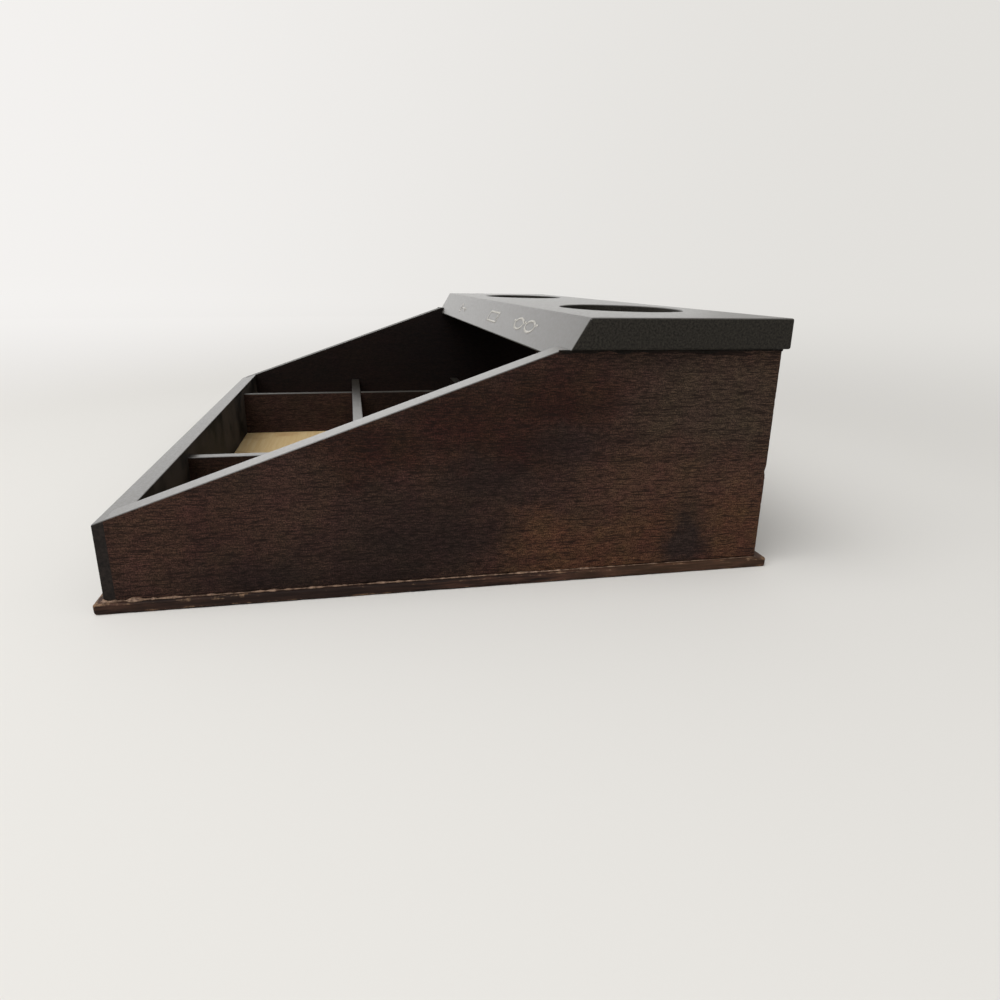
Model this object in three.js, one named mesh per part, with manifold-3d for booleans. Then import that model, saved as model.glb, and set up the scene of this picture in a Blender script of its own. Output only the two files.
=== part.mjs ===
// Desk valet organizer: a low wooden tray with sloped sides, dividers and a raised rear shelf.
// Sizes are in millimetres. +X is the right side, +Y the back and +Z up. The origin lies under
// the middle of the tray, on the surface that it stands on.

import * as THREE from 'three';
import { mergeVertices } from 'three/addons/utils/BufferGeometryUtils.js';
import Module from 'manifold-3d';

const wasm = await Module();
wasm.setup();

// Walls: outside width and depth, and heights above the floor.
const BODY_WIDTH = 361;
const BODY_DEPTH = 250;
const FRONT_HEIGHT = 28.5;
const BACK_HEIGHT = 85.5;
const SIDE_THICKNESS = 12;
const RAIL_THICKNESS = 12;
const RAIL_LAP = 4;
const BACK_THICKNESS = 6;
const BACK_REBATE = 6;

// Plywood base and the ledge that it leaves outside the walls.
const BASE_THICKNESS = 4;
const BASE_LEDGE_FRONT = 3.2;
const BASE_LEDGE_BACK = 4.3;
const BASE_LEDGE_SIDE = 1.9;
const BASE_CORNER_RADIUS = 1.5;

// Rear shelf: its ends sit on the side panels and its middle drops between them.
const SHELF_THICKNESS = 15.6;
const SHELF_DROP = 4.4;
const SHELF_DEPTH = 89.3;
const SHELF_SIDE_OVERHANG = 2.7;
const SHELF_BACK_OVERHANG = 1.8;
const SHELF_LEAN_DEGREES = 31;

// Oval holes through the shelf.
const HOLE_LENGTH = 85;
const HOLE_WIDTH = 53;
const HOLE_SPACING = 195;
const HOLE_BACK_MARGIN = 10.8;
const HOLE_SEGMENTS = 48;

// Dividers and the compartments that they leave.
const DIVIDER_THICKNESS = 6;
const DIVIDER_HEIGHT = 28;
const LEFT_BAY_WIDTH = 66;
const RIGHT_BAY_WIDTH = 81;
const FRONT_BAY_DEPTH = 75.4;
const REAR_DIVIDER_SETBACK = 7;

// Joints: depth of the housings in the thick boards and in the dividers.
const WALL_HOUSING = 3;
const DIVIDER_HOUSING = 2;
const GLUE_LINE = 0.2;

// Countersunk screws that hold the base from below.
const SCREW_LENGTH = 16;
const SCREW_SHANK_DIAMETER = 3;
const SCREW_HEAD_DIAMETER = 6;
const SCREW_HEAD_RIM = 0.3;
const SCREW_TIP = 3;
const SCREW_SINK = 0.3;
const SCREW_RECESS_LENGTH = 3.2;
const SCREW_RECESS_WIDTH = 0.9;
const SCREW_RECESS_DEPTH = 1.1;
const SCREW_INSET = 30;
const SIDE_SCREW_COUNT = 3;
const RAIL_SCREW_COUNT = 2;

// Dowels that hold the shelf on the side panels.
const DOWEL_DIAMETER = 6;
const DOWEL_PANEL_DEPTH = 12;
const DOWEL_COVER = 3.5;
const DOWEL_CHAMFER = 0.8;
const DOWEL_INSET = 18;
const DOWEL_COUNT = 2;
const FASTENER_CLEARANCE = 0.2;
const ROUND_SEGMENTS = 20;

// Cutters run this far past the faces that they cut.
const OVERCUT = 2;

const LEFT = -1;
const RIGHT = 1;

// Places that several pieces share. Y is counted from the rail's front face, Z from the floor.
const outerX = BODY_WIDTH / 2;
const innerX = outerX - SIDE_THICKNESS;
const sideMiddleX = outerX - SIDE_THICKNESS / 2;
const shelfBackY = BODY_DEPTH + SHELF_BACK_OVERHANG;
const shelfFrontY = shelfBackY - SHELF_DEPTH;
const shelfUnderZ = BACK_HEIGHT - SHELF_DROP;
const shelfEndThickness = SHELF_THICKNESS - SHELF_DROP;
const backInnerY = BODY_DEPTH - BACK_THICKNESS;
const frontCrossY = RAIL_THICKNESS + FRONT_BAY_DEPTH;
const rearCrossY = shelfFrontY + REAR_DIVIDER_SETBACK;
const leftDividerX = -innerX + LEFT_BAY_WIDTH;
const rightDividerX = innerX - RIGHT_BAY_WIDTH - DIVIDER_THICKNESS;

const finishes = {
  stainedWood: { color: 0x4a3228, roughness: 0.6, metalness: 0 },
  blackPaint: { color: 0x2b2a27, roughness: 0.5, metalness: 0 },
  stainedPlywood: { color: 0x4e382c, roughness: 0.7, metalness: 0 },
  paleWood: { color: 0xc9b083, roughness: 0.8, metalness: 0 },
  zincSteel: { color: 0xb9b6ae, roughness: 0.35, metalness: 1 },
};

/** Height of the sloped top edge above the floor, at a distance from the front face. */
function slopeHeight(y) {
  return FRONT_HEIGHT + (BACK_HEIGHT - FRONT_HEIGHT) * (y / shelfFrontY);
}

/** Evenly spaced values from first to last. */
function spread(first, last, count) {
  const step = count > 1 ? (last - first) / (count - 1) : 0;
  return Array.from({ length: count }, (_, index) => first + step * index);
}

/** Closed solid of a geometry, ready to be cut. */
function toSolid(geometry) {
  const bare = geometry.clone();
  bare.deleteAttribute('normal');
  bare.deleteAttribute('uv');
  const merged = mergeVertices(bare);
  const vertProperties = merged.attributes.position.array;
  const triVerts = Uint32Array.from(merged.index.array);
  return new wasm.Manifold(new wasm.Mesh({ numProp: 3, vertProperties, triVerts }));
}

/** Geometry with every cutter taken away from it. */
function cut(geometry, cutters) {
  const solid = cutters.reduce((rest, cutter) => rest.subtract(toSolid(cutter)), toSolid(geometry));
  const mesh = solid.getMesh();
  const result = new THREE.BufferGeometry();
  result.setAttribute('position', new THREE.BufferAttribute(mesh.vertProperties, 3));
  result.setIndex(new THREE.BufferAttribute(mesh.triVerts, 1));
  result.computeVertexNormals();
  return result;
}

/** Rectangular block between two corners. */
function block(low, high) {
  const size = high.map((value, axis) => value - low[axis]);
  const middle = low.map((value, axis) => value + size[axis] / 2);
  return new THREE.BoxGeometry(...size).translate(...middle);
}

/** Board with an outline in Y and Z, running along X from left to right. */
function profileBoard(outline, left, right) {
  const shape = new THREE.Shape(outline.map(([y, z]) => new THREE.Vector2(y, z)));
  const geometry = new THREE.ExtrudeGeometry(shape, { depth: right - left, bevelEnabled: false });
  const turn = new THREE.Matrix4().makeBasis(
    new THREE.Vector3(0, 1, 0),
    new THREE.Vector3(0, 0, 1),
    new THREE.Vector3(1, 0, 0),
  );
  return geometry.applyMatrix4(turn).translate(left, 0, 0);
}

/** Round body about Z from a profile of radius and height. */
function turned(profile) {
  const points = profile.map(([radius, height]) => new THREE.Vector2(radius, height));
  return new THREE.LatheGeometry(points, ROUND_SEGMENTS).rotateX(Math.PI / 2);
}

/** Named piece with its own finish. */
function piece(name, geometry, finish, position = [0, 0, 0]) {
  const mesh = new THREE.Mesh(geometry, new THREE.MeshStandardMaterial(finish));
  mesh.name = name;
  mesh.position.set(...position);
  return mesh;
}

// Fasteners

const screwHeadZ = -BASE_THICKNESS + SCREW_SINK;
const dowelUnderZ = BACK_HEIGHT - DOWEL_PANEL_DEPTH;
const dowelLength = DOWEL_PANEL_DEPTH + GLUE_LINE + shelfEndThickness - DOWEL_COVER;

/** Places of the screws that go up into one side panel. */
function sideScrewPlaces(side) {
  return spread(SCREW_INSET, BODY_DEPTH - SCREW_INSET, SIDE_SCREW_COUNT)
    .map((y) => [side * sideMiddleX, y]);
}

/** Places of the screws that go up into the front rail. */
function railScrewPlaces() {
  const reach = innerX - SCREW_INSET;
  return spread(-reach, reach, RAIL_SCREW_COUNT).map((x) => [x, RAIL_THICKNESS / 2]);
}

/** Places of the dowels in one side panel. */
function dowelPlaces(side) {
  return spread(shelfFrontY + DOWEL_INSET, BODY_DEPTH - DOWEL_INSET, DOWEL_COUNT)
    .map((y) => [side * sideMiddleX, y]);
}

/** Countersunk screw with a cross recess, head down, its head's face at height zero. */
function screwGeometry() {
  const head = SCREW_HEAD_DIAMETER / 2;
  const shank = SCREW_SHANK_DIAMETER / 2;
  const coneTop = SCREW_HEAD_RIM + head - shank;
  const body = turned([
    [0, 0],
    [head, 0],
    [head, SCREW_HEAD_RIM],
    [shank, coneTop],
    [shank, SCREW_LENGTH - SCREW_TIP],
    [0, SCREW_LENGTH],
  ]);
  const long = SCREW_RECESS_LENGTH / 2;
  const wide = SCREW_RECESS_WIDTH / 2;
  return cut(body, [
    block([-long, -wide, -OVERCUT], [long, wide, SCREW_RECESS_DEPTH]),
    block([-wide, -long, -OVERCUT], [wide, long, SCREW_RECESS_DEPTH]),
  ]);
}

/** Countersunk bore for one screw, open below. */
function screwBore([x, y]) {
  const head = SCREW_HEAD_DIAMETER / 2 + FASTENER_CLEARANCE;
  const shank = SCREW_SHANK_DIAMETER / 2 + FASTENER_CLEARANCE;
  const coneStart = SCREW_HEAD_RIM + FASTENER_CLEARANCE;
  return turned([
    [0, -SCREW_SINK - OVERCUT],
    [head, -SCREW_SINK - OVERCUT],
    [head, coneStart],
    [shank, coneStart + head - shank],
    [shank, SCREW_LENGTH + FASTENER_CLEARANCE],
    [0, SCREW_LENGTH + FASTENER_CLEARANCE],
  ]).translate(x, y, screwHeadZ);
}

/** Wooden dowel with chamfered ends, its lower end at height zero. */
function dowelGeometry() {
  const radius = DOWEL_DIAMETER / 2;
  const end = radius - DOWEL_CHAMFER;
  return turned([
    [0, 0],
    [end, 0],
    [radius, DOWEL_CHAMFER],
    [radius, dowelLength - DOWEL_CHAMFER],
    [end, dowelLength],
    [0, dowelLength],
  ]);
}

/** Blind bore for one dowel, with room at both ends. */
function dowelBore([x, y]) {
  const radius = DOWEL_DIAMETER / 2 + FASTENER_CLEARANCE;
  const low = -FASTENER_CLEARANCE;
  const high = dowelLength + FASTENER_CLEARANCE;
  return turned([
    [0, low],
    [radius, low],
    [radius, high],
    [0, high],
  ]).translate(x, y, dowelUnderZ);
}

// Walls and base

/** Plywood base with rounded corners and countersunk bores. */
function basePlate() {
  const side = outerX + BASE_LEDGE_SIDE;
  const front = -BASE_LEDGE_FRONT;
  const back = BODY_DEPTH + BASE_LEDGE_BACK;
  const round = BASE_CORNER_RADIUS;
  const quarter = Math.PI / 2;
  const shape = new THREE.Shape();
  shape.absarc(side - round, front + round, round, -quarter, 0);
  shape.absarc(side - round, back - round, round, 0, quarter);
  shape.absarc(-side + round, back - round, round, quarter, 2 * quarter);
  shape.absarc(-side + round, front + round, round, 2 * quarter, 3 * quarter);
  const plate = new THREE.ExtrudeGeometry(shape, {
    depth: BASE_THICKNESS,
    bevelEnabled: false,
    curveSegments: 4,
  }).translate(0, 0, -BASE_THICKNESS);
  const places = [...sideScrewPlaces(LEFT), ...sideScrewPlaces(RIGHT), ...railScrewPlaces()];
  return cut(plate, places.map(screwBore));
}

/** Housing across a side panel's inner face for the end of a cross divider. */
function wallHousing(side, dividerY) {
  const faceX = side * innerX;
  const ends = [faceX - side * OVERCUT, faceX + side * WALL_HOUSING];
  return block(
    [Math.min(...ends), dividerY - GLUE_LINE, -OVERCUT],
    [Math.max(...ends), dividerY + DIVIDER_THICKNESS + GLUE_LINE, DIVIDER_HEIGHT + GLUE_LINE],
  );
}

/** Sloped side panel, rebated for the back and housed for the cross dividers. */
function sidePanel(side, dividerYs) {
  const frontY = RAIL_LAP + GLUE_LINE;
  const outline = [
    [frontY, GLUE_LINE],
    [BODY_DEPTH, GLUE_LINE],
    [BODY_DEPTH, BACK_HEIGHT],
    [shelfFrontY, BACK_HEIGHT],
    [frontY, slopeHeight(frontY)],
  ];
  const faces = [side * innerX, side * outerX];
  const board = profileBoard(outline, Math.min(...faces), Math.max(...faces));
  const rebate = [side * (innerX - OVERCUT), side * (innerX + BACK_REBATE)];
  const rebateCutter = block(
    [Math.min(...rebate), backInnerY - GLUE_LINE, -OVERCUT],
    [Math.max(...rebate), BODY_DEPTH + OVERCUT, shelfUnderZ],
  );
  return cut(board, [
    rebateCutter,
    ...dividerYs.map((y) => wallHousing(side, y)),
    ...sideScrewPlaces(side).map(screwBore),
    ...dowelPlaces(side).map(dowelBore),
  ]);
}

/** Front rail, bevelled along the slope, whose ends lap the side panels. */
function frontRail() {
  const outline = [
    [0, GLUE_LINE],
    [RAIL_THICKNESS, GLUE_LINE],
    [RAIL_THICKNESS, slopeHeight(RAIL_THICKNESS)],
    [0, FRONT_HEIGHT],
  ];
  const board = profileBoard(outline, -outerX, outerX);
  const topZ = slopeHeight(RAIL_THICKNESS) + OVERCUT;
  const shoulderX = innerX - GLUE_LINE;
  const endLaps = [
    block([-outerX - OVERCUT, RAIL_LAP, -OVERCUT], [-shoulderX, RAIL_THICKNESS + OVERCUT, topZ]),
    block([shoulderX, RAIL_LAP, -OVERCUT], [outerX + OVERCUT, RAIL_THICKNESS + OVERCUT, topZ]),
  ];
  const housings = [leftDividerX, rightDividerX].map((x) => block(
    [x - GLUE_LINE, RAIL_THICKNESS - WALL_HOUSING, -OVERCUT],
    [x + DIVIDER_THICKNESS + GLUE_LINE, RAIL_THICKNESS + OVERCUT, DIVIDER_HEIGHT + GLUE_LINE],
  ));
  return cut(board, [...endLaps, ...housings, ...railScrewPlaces().map(screwBore)]);
}

/** Back panel, let into the rebates of the side panels. */
function backPanel() {
  const reach = innerX + BACK_REBATE - GLUE_LINE;
  return block([-reach, backInnerY, GLUE_LINE], [reach, BODY_DEPTH, shelfUnderZ - GLUE_LINE]);
}

// Shelf

/** Oval cutter through the shelf. */
function shelfHole(x) {
  const y = shelfBackY - HOLE_BACK_MARGIN - HOLE_WIDTH / 2;
  const shape = new THREE.Shape();
  shape.absellipse(x, y, HOLE_LENGTH / 2, HOLE_WIDTH / 2, 0, 2 * Math.PI);
  return new THREE.ExtrudeGeometry(shape, {
    depth: SHELF_THICKNESS + 2 * OVERCUT,
    bevelEnabled: false,
    curveSegments: HOLE_SEGMENTS,
  }).translate(0, 0, shelfUnderZ - OVERCUT);
}

/** Thick shelf with a leaning front, rebated ends and two oval holes. */
function topShelf() {
  const lowZ = shelfUnderZ + GLUE_LINE;
  const highZ = lowZ + SHELF_THICKNESS;
  const lean = SHELF_THICKNESS * Math.tan(THREE.MathUtils.degToRad(SHELF_LEAN_DEGREES));
  const outline = [
    [shelfFrontY, lowZ],
    [shelfBackY, lowZ],
    [shelfBackY, highZ],
    [shelfFrontY + lean, highZ],
  ];
  const endX = outerX + SHELF_SIDE_OVERHANG;
  const board = profileBoard(outline, -endX, endX);
  const shoulderX = innerX - GLUE_LINE;
  const underZ = shelfUnderZ - OVERCUT;
  const seatZ = BACK_HEIGHT + GLUE_LINE;
  const endRebates = [
    block([-endX - OVERCUT, shelfFrontY - OVERCUT, underZ], [-shoulderX, shelfBackY + OVERCUT, seatZ]),
    block([shoulderX, shelfFrontY - OVERCUT, underZ], [endX + OVERCUT, shelfBackY + OVERCUT, seatZ]),
  ];
  const holes = [-HOLE_SPACING / 2, HOLE_SPACING / 2].map(shelfHole);
  const bores = [...dowelPlaces(LEFT), ...dowelPlaces(RIGHT)].map(dowelBore);
  return cut(board, [...endRebates, ...holes, ...bores]);
}

// Dividers

const longFrontY = RAIL_THICKNESS - WALL_HOUSING + GLUE_LINE;
const longBackY = rearCrossY + DIVIDER_HOUSING - GLUE_LINE;
const lapZ = DIVIDER_HEIGHT / 2;

/** Board of a divider that runs front to back, with its left face at x. */
function longDividerBoard(x) {
  return block(
    [x, longFrontY, GLUE_LINE],
    [x + DIVIDER_THICKNESS, longBackY, DIVIDER_HEIGHT],
  );
}

/** Left long divider, notched from above for the front cross divider. */
function leftLongDivider() {
  const notch = block(
    [leftDividerX - OVERCUT, frontCrossY - GLUE_LINE, lapZ],
    [
      leftDividerX + DIVIDER_THICKNESS + OVERCUT,
      frontCrossY + DIVIDER_THICKNESS + GLUE_LINE,
      DIVIDER_HEIGHT + OVERCUT,
    ],
  );
  return cut(longDividerBoard(leftDividerX), [notch]);
}

/** Right long divider, housed for the end of the front cross divider. */
function rightLongDivider() {
  const housing = block(
    [rightDividerX - OVERCUT, frontCrossY - GLUE_LINE, -OVERCUT],
    [
      rightDividerX + DIVIDER_HOUSING,
      frontCrossY + DIVIDER_THICKNESS + GLUE_LINE,
      DIVIDER_HEIGHT + OVERCUT,
    ],
  );
  return cut(longDividerBoard(rightDividerX), [housing]);
}

/** Front cross divider, notched from below, from the left panel to the right long divider. */
function frontCrossDivider() {
  const board = block(
    [-innerX - WALL_HOUSING + GLUE_LINE, frontCrossY, GLUE_LINE],
    [
      rightDividerX + DIVIDER_HOUSING - GLUE_LINE,
      frontCrossY + DIVIDER_THICKNESS,
      DIVIDER_HEIGHT,
    ],
  );
  const notch = block(
    [leftDividerX - GLUE_LINE, frontCrossY - OVERCUT, -OVERCUT],
    [
      leftDividerX + DIVIDER_THICKNESS + GLUE_LINE,
      frontCrossY + DIVIDER_THICKNESS + OVERCUT,
      lapZ + GLUE_LINE,
    ],
  );
  return cut(board, [notch]);
}

/** Rear cross divider from wall to wall, housed for the ends of the long dividers. */
function rearCrossDivider() {
  const reach = innerX + WALL_HOUSING - GLUE_LINE;
  const board = block(
    [-reach, rearCrossY, GLUE_LINE],
    [reach, rearCrossY + DIVIDER_THICKNESS, DIVIDER_HEIGHT],
  );
  const housings = [leftDividerX, rightDividerX].map((x) => block(
    [x - GLUE_LINE, rearCrossY - OVERCUT, -OVERCUT],
    [x + DIVIDER_THICKNESS + GLUE_LINE, rearCrossY + DIVIDER_HOUSING, DIVIDER_HEIGHT + OVERCUT],
  ));
  return cut(board, housings);
}

// Assembly

const organizer = new THREE.Group();
organizer.position.set(0, -(BODY_DEPTH + BASE_LEDGE_BACK - BASE_LEDGE_FRONT) / 2, BASE_THICKNESS);

organizer.add(
  piece('base_plate', basePlate(), finishes.stainedPlywood),
  piece('left_side_panel', sidePanel(LEFT, [frontCrossY, rearCrossY]), finishes.stainedWood),
  piece('right_side_panel', sidePanel(RIGHT, [rearCrossY]), finishes.stainedWood),
  piece('front_rail', frontRail(), finishes.blackPaint),
  piece('back_panel', backPanel(), finishes.stainedWood),
  piece('top_shelf', topShelf(), finishes.blackPaint),
  piece('left_long_divider', leftLongDivider(), finishes.stainedWood),
  piece('right_long_divider', rightLongDivider(), finishes.stainedWood),
  piece('front_cross_divider', frontCrossDivider(), finishes.stainedWood),
  piece('rear_cross_divider', rearCrossDivider(), finishes.stainedWood),
);

const screwPlaces = [...sideScrewPlaces(LEFT), ...sideScrewPlaces(RIGHT), ...railScrewPlaces()];
screwPlaces.forEach(([x, y], index) => {
  organizer.add(piece(`base_screw_${index + 1}`, screwGeometry(), finishes.zincSteel, [x, y, screwHeadZ]));
});

const shelfDowelPlaces = [...dowelPlaces(LEFT), ...dowelPlaces(RIGHT)];
shelfDowelPlaces.forEach(([x, y], index) => {
  organizer.add(piece(`shelf_dowel_${index + 1}`, dowelGeometry(), finishes.paleWood, [x, y, dowelUnderZ]));
});

export default organizer;
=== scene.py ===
"""Looks of a desk valet organizer: stained wooden tray, dividers, plywood base, black rear shelf.

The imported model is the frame. Each board is modelled again with eased, worn edges and stands for
its node. Screws and dowels keep their nodes and get a finish. Meshes are in metres, and sizes
that are named here are in millimetres.
"""

from __future__ import annotations

import logging
import math
from collections.abc import Callable, Sequence
from dataclasses import dataclass
from enum import Enum

import bmesh
import bpy
from mathutils import Matrix, Vector, noise


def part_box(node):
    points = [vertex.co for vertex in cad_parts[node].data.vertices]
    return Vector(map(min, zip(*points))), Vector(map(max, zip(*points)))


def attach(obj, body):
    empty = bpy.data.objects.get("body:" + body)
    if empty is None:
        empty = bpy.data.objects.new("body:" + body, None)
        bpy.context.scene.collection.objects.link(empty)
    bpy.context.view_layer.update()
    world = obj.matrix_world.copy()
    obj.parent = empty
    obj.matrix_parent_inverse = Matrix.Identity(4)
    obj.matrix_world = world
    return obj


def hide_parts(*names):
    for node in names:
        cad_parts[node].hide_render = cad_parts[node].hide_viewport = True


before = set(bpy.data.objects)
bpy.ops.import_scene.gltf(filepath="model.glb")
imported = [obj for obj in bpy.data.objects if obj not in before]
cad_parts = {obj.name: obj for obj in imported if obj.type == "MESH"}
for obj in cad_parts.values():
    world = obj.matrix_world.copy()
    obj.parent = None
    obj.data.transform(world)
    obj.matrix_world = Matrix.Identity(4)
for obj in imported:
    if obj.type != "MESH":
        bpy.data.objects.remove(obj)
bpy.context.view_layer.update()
NODE_BOXES = {name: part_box(name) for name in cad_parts}

LOG = logging.getLogger("valet_organizer")
BODY = "root"
MM = 0.001
# Inputs of a range node, from its source range to its target range.
SPAN = ("From Min", "From Max", "To Min", "To Max")
# Sockets of a colour mix: share, first and second colour in, and the mixed colour out.
SHARE, FIRST, SECOND, MIXED = 0, 6, 7, 2
MULTIPLY = {"data_type": "RGBA", "blend_type": "MULTIPLY", SHARE: 1.0}
# Gap between glued boards, and the hair that is left where paint or glue closes it.
GLUE_LINE = 0.2 * MM
TOUCH = 0.02 * MM
# Metres within which corners are one, and within which a corner lies on a cut.
SAME_POINT = 1e-6
ON_PLANE = 1e-7
# Least share of a normal along an axis that a face is said to look along.
FACING = 0.9
NOISE_MIDDLE = (0.5, 0.5, 0.5)
NOISE_LAYER = 0.5
WEAR_LAYER = "wear"
# Share of the way in from a patch's rim at which it has its full strength.
FULL_PATCH = 0.8
SHARP_ANGLE = math.radians(40.0)
FACE_WEIGHT = 80
X_AXIS = Vector((1, 0, 0))
Y_AXIS = Vector((0, 1, 0))
Z_AXIS = Vector((0, 0, 1))

Bm = bmesh.types.BMesh
Edge = bmesh.types.BMEdge
Socket = bpy.types.NodeSocket
Tree = bpy.types.NodeTree
Outline = Sequence[tuple[float, float]]
Range = tuple[float, float]
Colour = tuple[float, float, float, float]
ShaderInputs = dict[str, Socket | float]


class Grain(Enum):
    """Axes of the row that a board's grain, or a sheet's plies, run along."""

    ALONG_X = (0,)
    ALONG_Y = (1,)
    LEVEL = (0, 1)


class Axis(Enum):
    """Axis of the row, as an index into a place."""

    X = 0
    Y = 1
    Z = 2


class Side(Enum):
    """Left or right half of the tray, seen from its low front."""

    LEFT = -1
    RIGHT = 1


class Lap(Enum):
    """How much of a crossing board's height is let into another board."""

    WHOLE = "whole"
    UPPER_HALF = "upper half"
    LOWER_HALF = "lower half"


class Skin(Enum):
    """Material index of a board's faces."""

    SIDES = 0
    TOPS = 1
    INSIDE = 2


class BaseSkin(Enum):
    """Material index of the base's faces."""

    EDGE = 0
    FLOOR = 1
    UNDERSIDE = 2


def linear(hex_colour: str) -> Colour:
    """Turn an sRGB hex value to linear light, by the sRGB curve.

    Args:
        hex_colour: colour as "#rrggbb".

    Returns:
        Linear red, green, blue and an alpha of one.
    """
    parts = [int(hex_colour[start:start + 2], 16) / 255 for start in (1, 3, 5)]
    red, green, blue = [p / 12.92 if p <= 0.04045 else ((p + 0.055) / 1.055) ** 2.4 for p in parts]
    return red, green, blue, 1.0


def per_metre(size_mm: float) -> float:
    """Texture scale whose features are about this many millimetres wide."""
    return 1.0 / (size_mm * MM)


def add_node(
    tree: Tree,
    kind: str,
    settings: dict[str | int, object] | None = None,
    links: dict[str | int, Socket] | None = None,
    output: str | int = 0,
) -> Socket:
    """Add a node with its settings and links.

    Args:
        tree: node tree that gets the node.
        kind: node type after "ShaderNode".
        settings: attributes of the node, or values of its inputs by name or index.
        links: sockets that feed its inputs, by input name or index.
        output: name or index of the output that is wanted.

    Returns:
        That output socket.
    """
    node = tree.nodes.new(f"ShaderNode{kind}")
    for key, value in (settings or {}).items():
        if isinstance(key, str) and hasattr(node, key):
            setattr(node, key, value)
        else:
            node.inputs[key].default_value = value
    for key, socket in (links or {}).items():
        tree.links.new(socket, node.inputs[key])
    return node.outputs[output]


@dataclass(frozen=True)
class Pattern:
    """Noise with features of a real size, turned to a range of values. Millimetres."""

    size: float
    stretch: float = 1.0
    detail: float = 4.0
    roughness: float = 0.6
    low: float = 0.3
    high: float = 0.7
    start: float = 0.0
    end: float = 1.0

    def lay(self, tree: Tree, coords: Socket, grain: Grain = Grain.ALONG_Y) -> Socket:
        """Add the noise and its range to a node tree.

        Args:
            tree: node tree to add to.
            coords: object coordinates.
            grain: direction that the features are drawn out along.

        Returns:
            Socket that goes from start to end as the noise goes from low to high.
        """
        scale = [1.0 / self.stretch if axis in grain.value else 1.0 for axis in range(3)]
        drawn_out = add_node(tree, "Mapping", {"Scale": scale}, {"Vector": coords})
        grit = {"Scale": per_metre(self.size), "Detail": self.detail, "Roughness": self.roughness}
        features = add_node(tree, "TexNoise", grit, {"Vector": drawn_out}, "Fac")
        span = dict(zip(SPAN, (self.low, self.high, self.start, self.end)))
        smooth = {"interpolation_type": "SMOOTHSTEP", **span}
        return add_node(tree, "MapRange", smooth, {"Value": features})


@dataclass(frozen=True)
class Finish:
    """A material with a Principled shader; each kind of finish paints its own nodes."""

    name: str

    def material(self) -> bpy.types.Material:
        """Make the material once, and give the same one again after that.

        Returns:
            The material.
        """
        known = bpy.data.materials.get(self.name)
        if known:
            return known
        made = bpy.data.materials.new(self.name)
        made.use_nodes = True
        tree = made.node_tree
        shader = tree.nodes["Principled BSDF"]
        coords = add_node(tree, "TexCoord", output="Object")
        for name, value in self.paint(tree, coords).items():
            if isinstance(value, Socket):
                tree.links.new(value, shader.inputs[name])
            else:
                shader.inputs[name].default_value = value
        return made

    def paint(self, tree: Tree, coords: Socket) -> ShaderInputs:
        """Add the finish's nodes.

        Args:
            tree: node tree to add to.
            coords: object coordinates.

        Returns:
            Socket or constant for each input of the shader that the finish sets.
        """
        raise NotImplementedError


@dataclass(frozen=True)
class Patch:
    """A soft oval on a board's side face, in millimetres in the row frame."""

    y: float
    z: float
    half_y: float
    half_z: float


def patch_mask(tree: Tree, coords: Socket, patches: Sequence[Patch], strength: float) -> Socket:
    """Mask that is strongest in the middle of each patch and fades to zero at its rim.

    Args:
        tree: node tree to add to.
        coords: object coordinates.
        patches: ovals to draw.
        strength: greatest value of the mask.

    Returns:
        The mask.
    """
    strongest = None
    for patch in patches:
        scale = Vector((0.0, per_metre(patch.half_y), per_metre(patch.half_z)))
        centre = Vector((0.0, -patch.y / patch.half_y, -patch.z / patch.half_z))
        place = add_node(tree, "Mapping", {"Location": centre, "Scale": scale}, {"Vector": coords})
        glow = add_node(tree, "TexGradient", {"gradient_type": "SPHERICAL"}, {"Vector": place}, "Fac")
        if strongest:
            glow = add_node(tree, "Math", {"operation": "MAXIMUM"}, {0: strongest, 1: glow})
        strongest = glow
    fade = {"interpolation_type": "SMOOTHSTEP", "From Max": FULL_PATCH, "To Max": strength}
    return add_node(tree, "MapRange", fade, {"Value": strongest})


@dataclass(frozen=True)
class PatchTint:
    """Patches of one tint mixed over a colour. On most boards they are stain that took unevenly; on the
    inner faces of the side panels and on the left divider they are painted shade deep in the tray.
    """

    tint: str
    strength: float
    patches: tuple[Patch, ...]

    def lay_over(self, tree: Tree, coords: Socket, colour: Socket) -> Socket:
        """Mix the tinted patches over a colour.

        Args:
            tree: node tree to add to.
            coords: object coordinates.
            colour: colour under the patches.

        Returns:
            The tinted colour.
        """
        mask = patch_mask(tree, coords, self.patches, self.strength)
        tint = {"data_type": "RGBA", SECOND: linear(self.tint)}
        return add_node(tree, "Mix", tint, {SHARE: mask, FIRST: colour}, MIXED)


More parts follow.
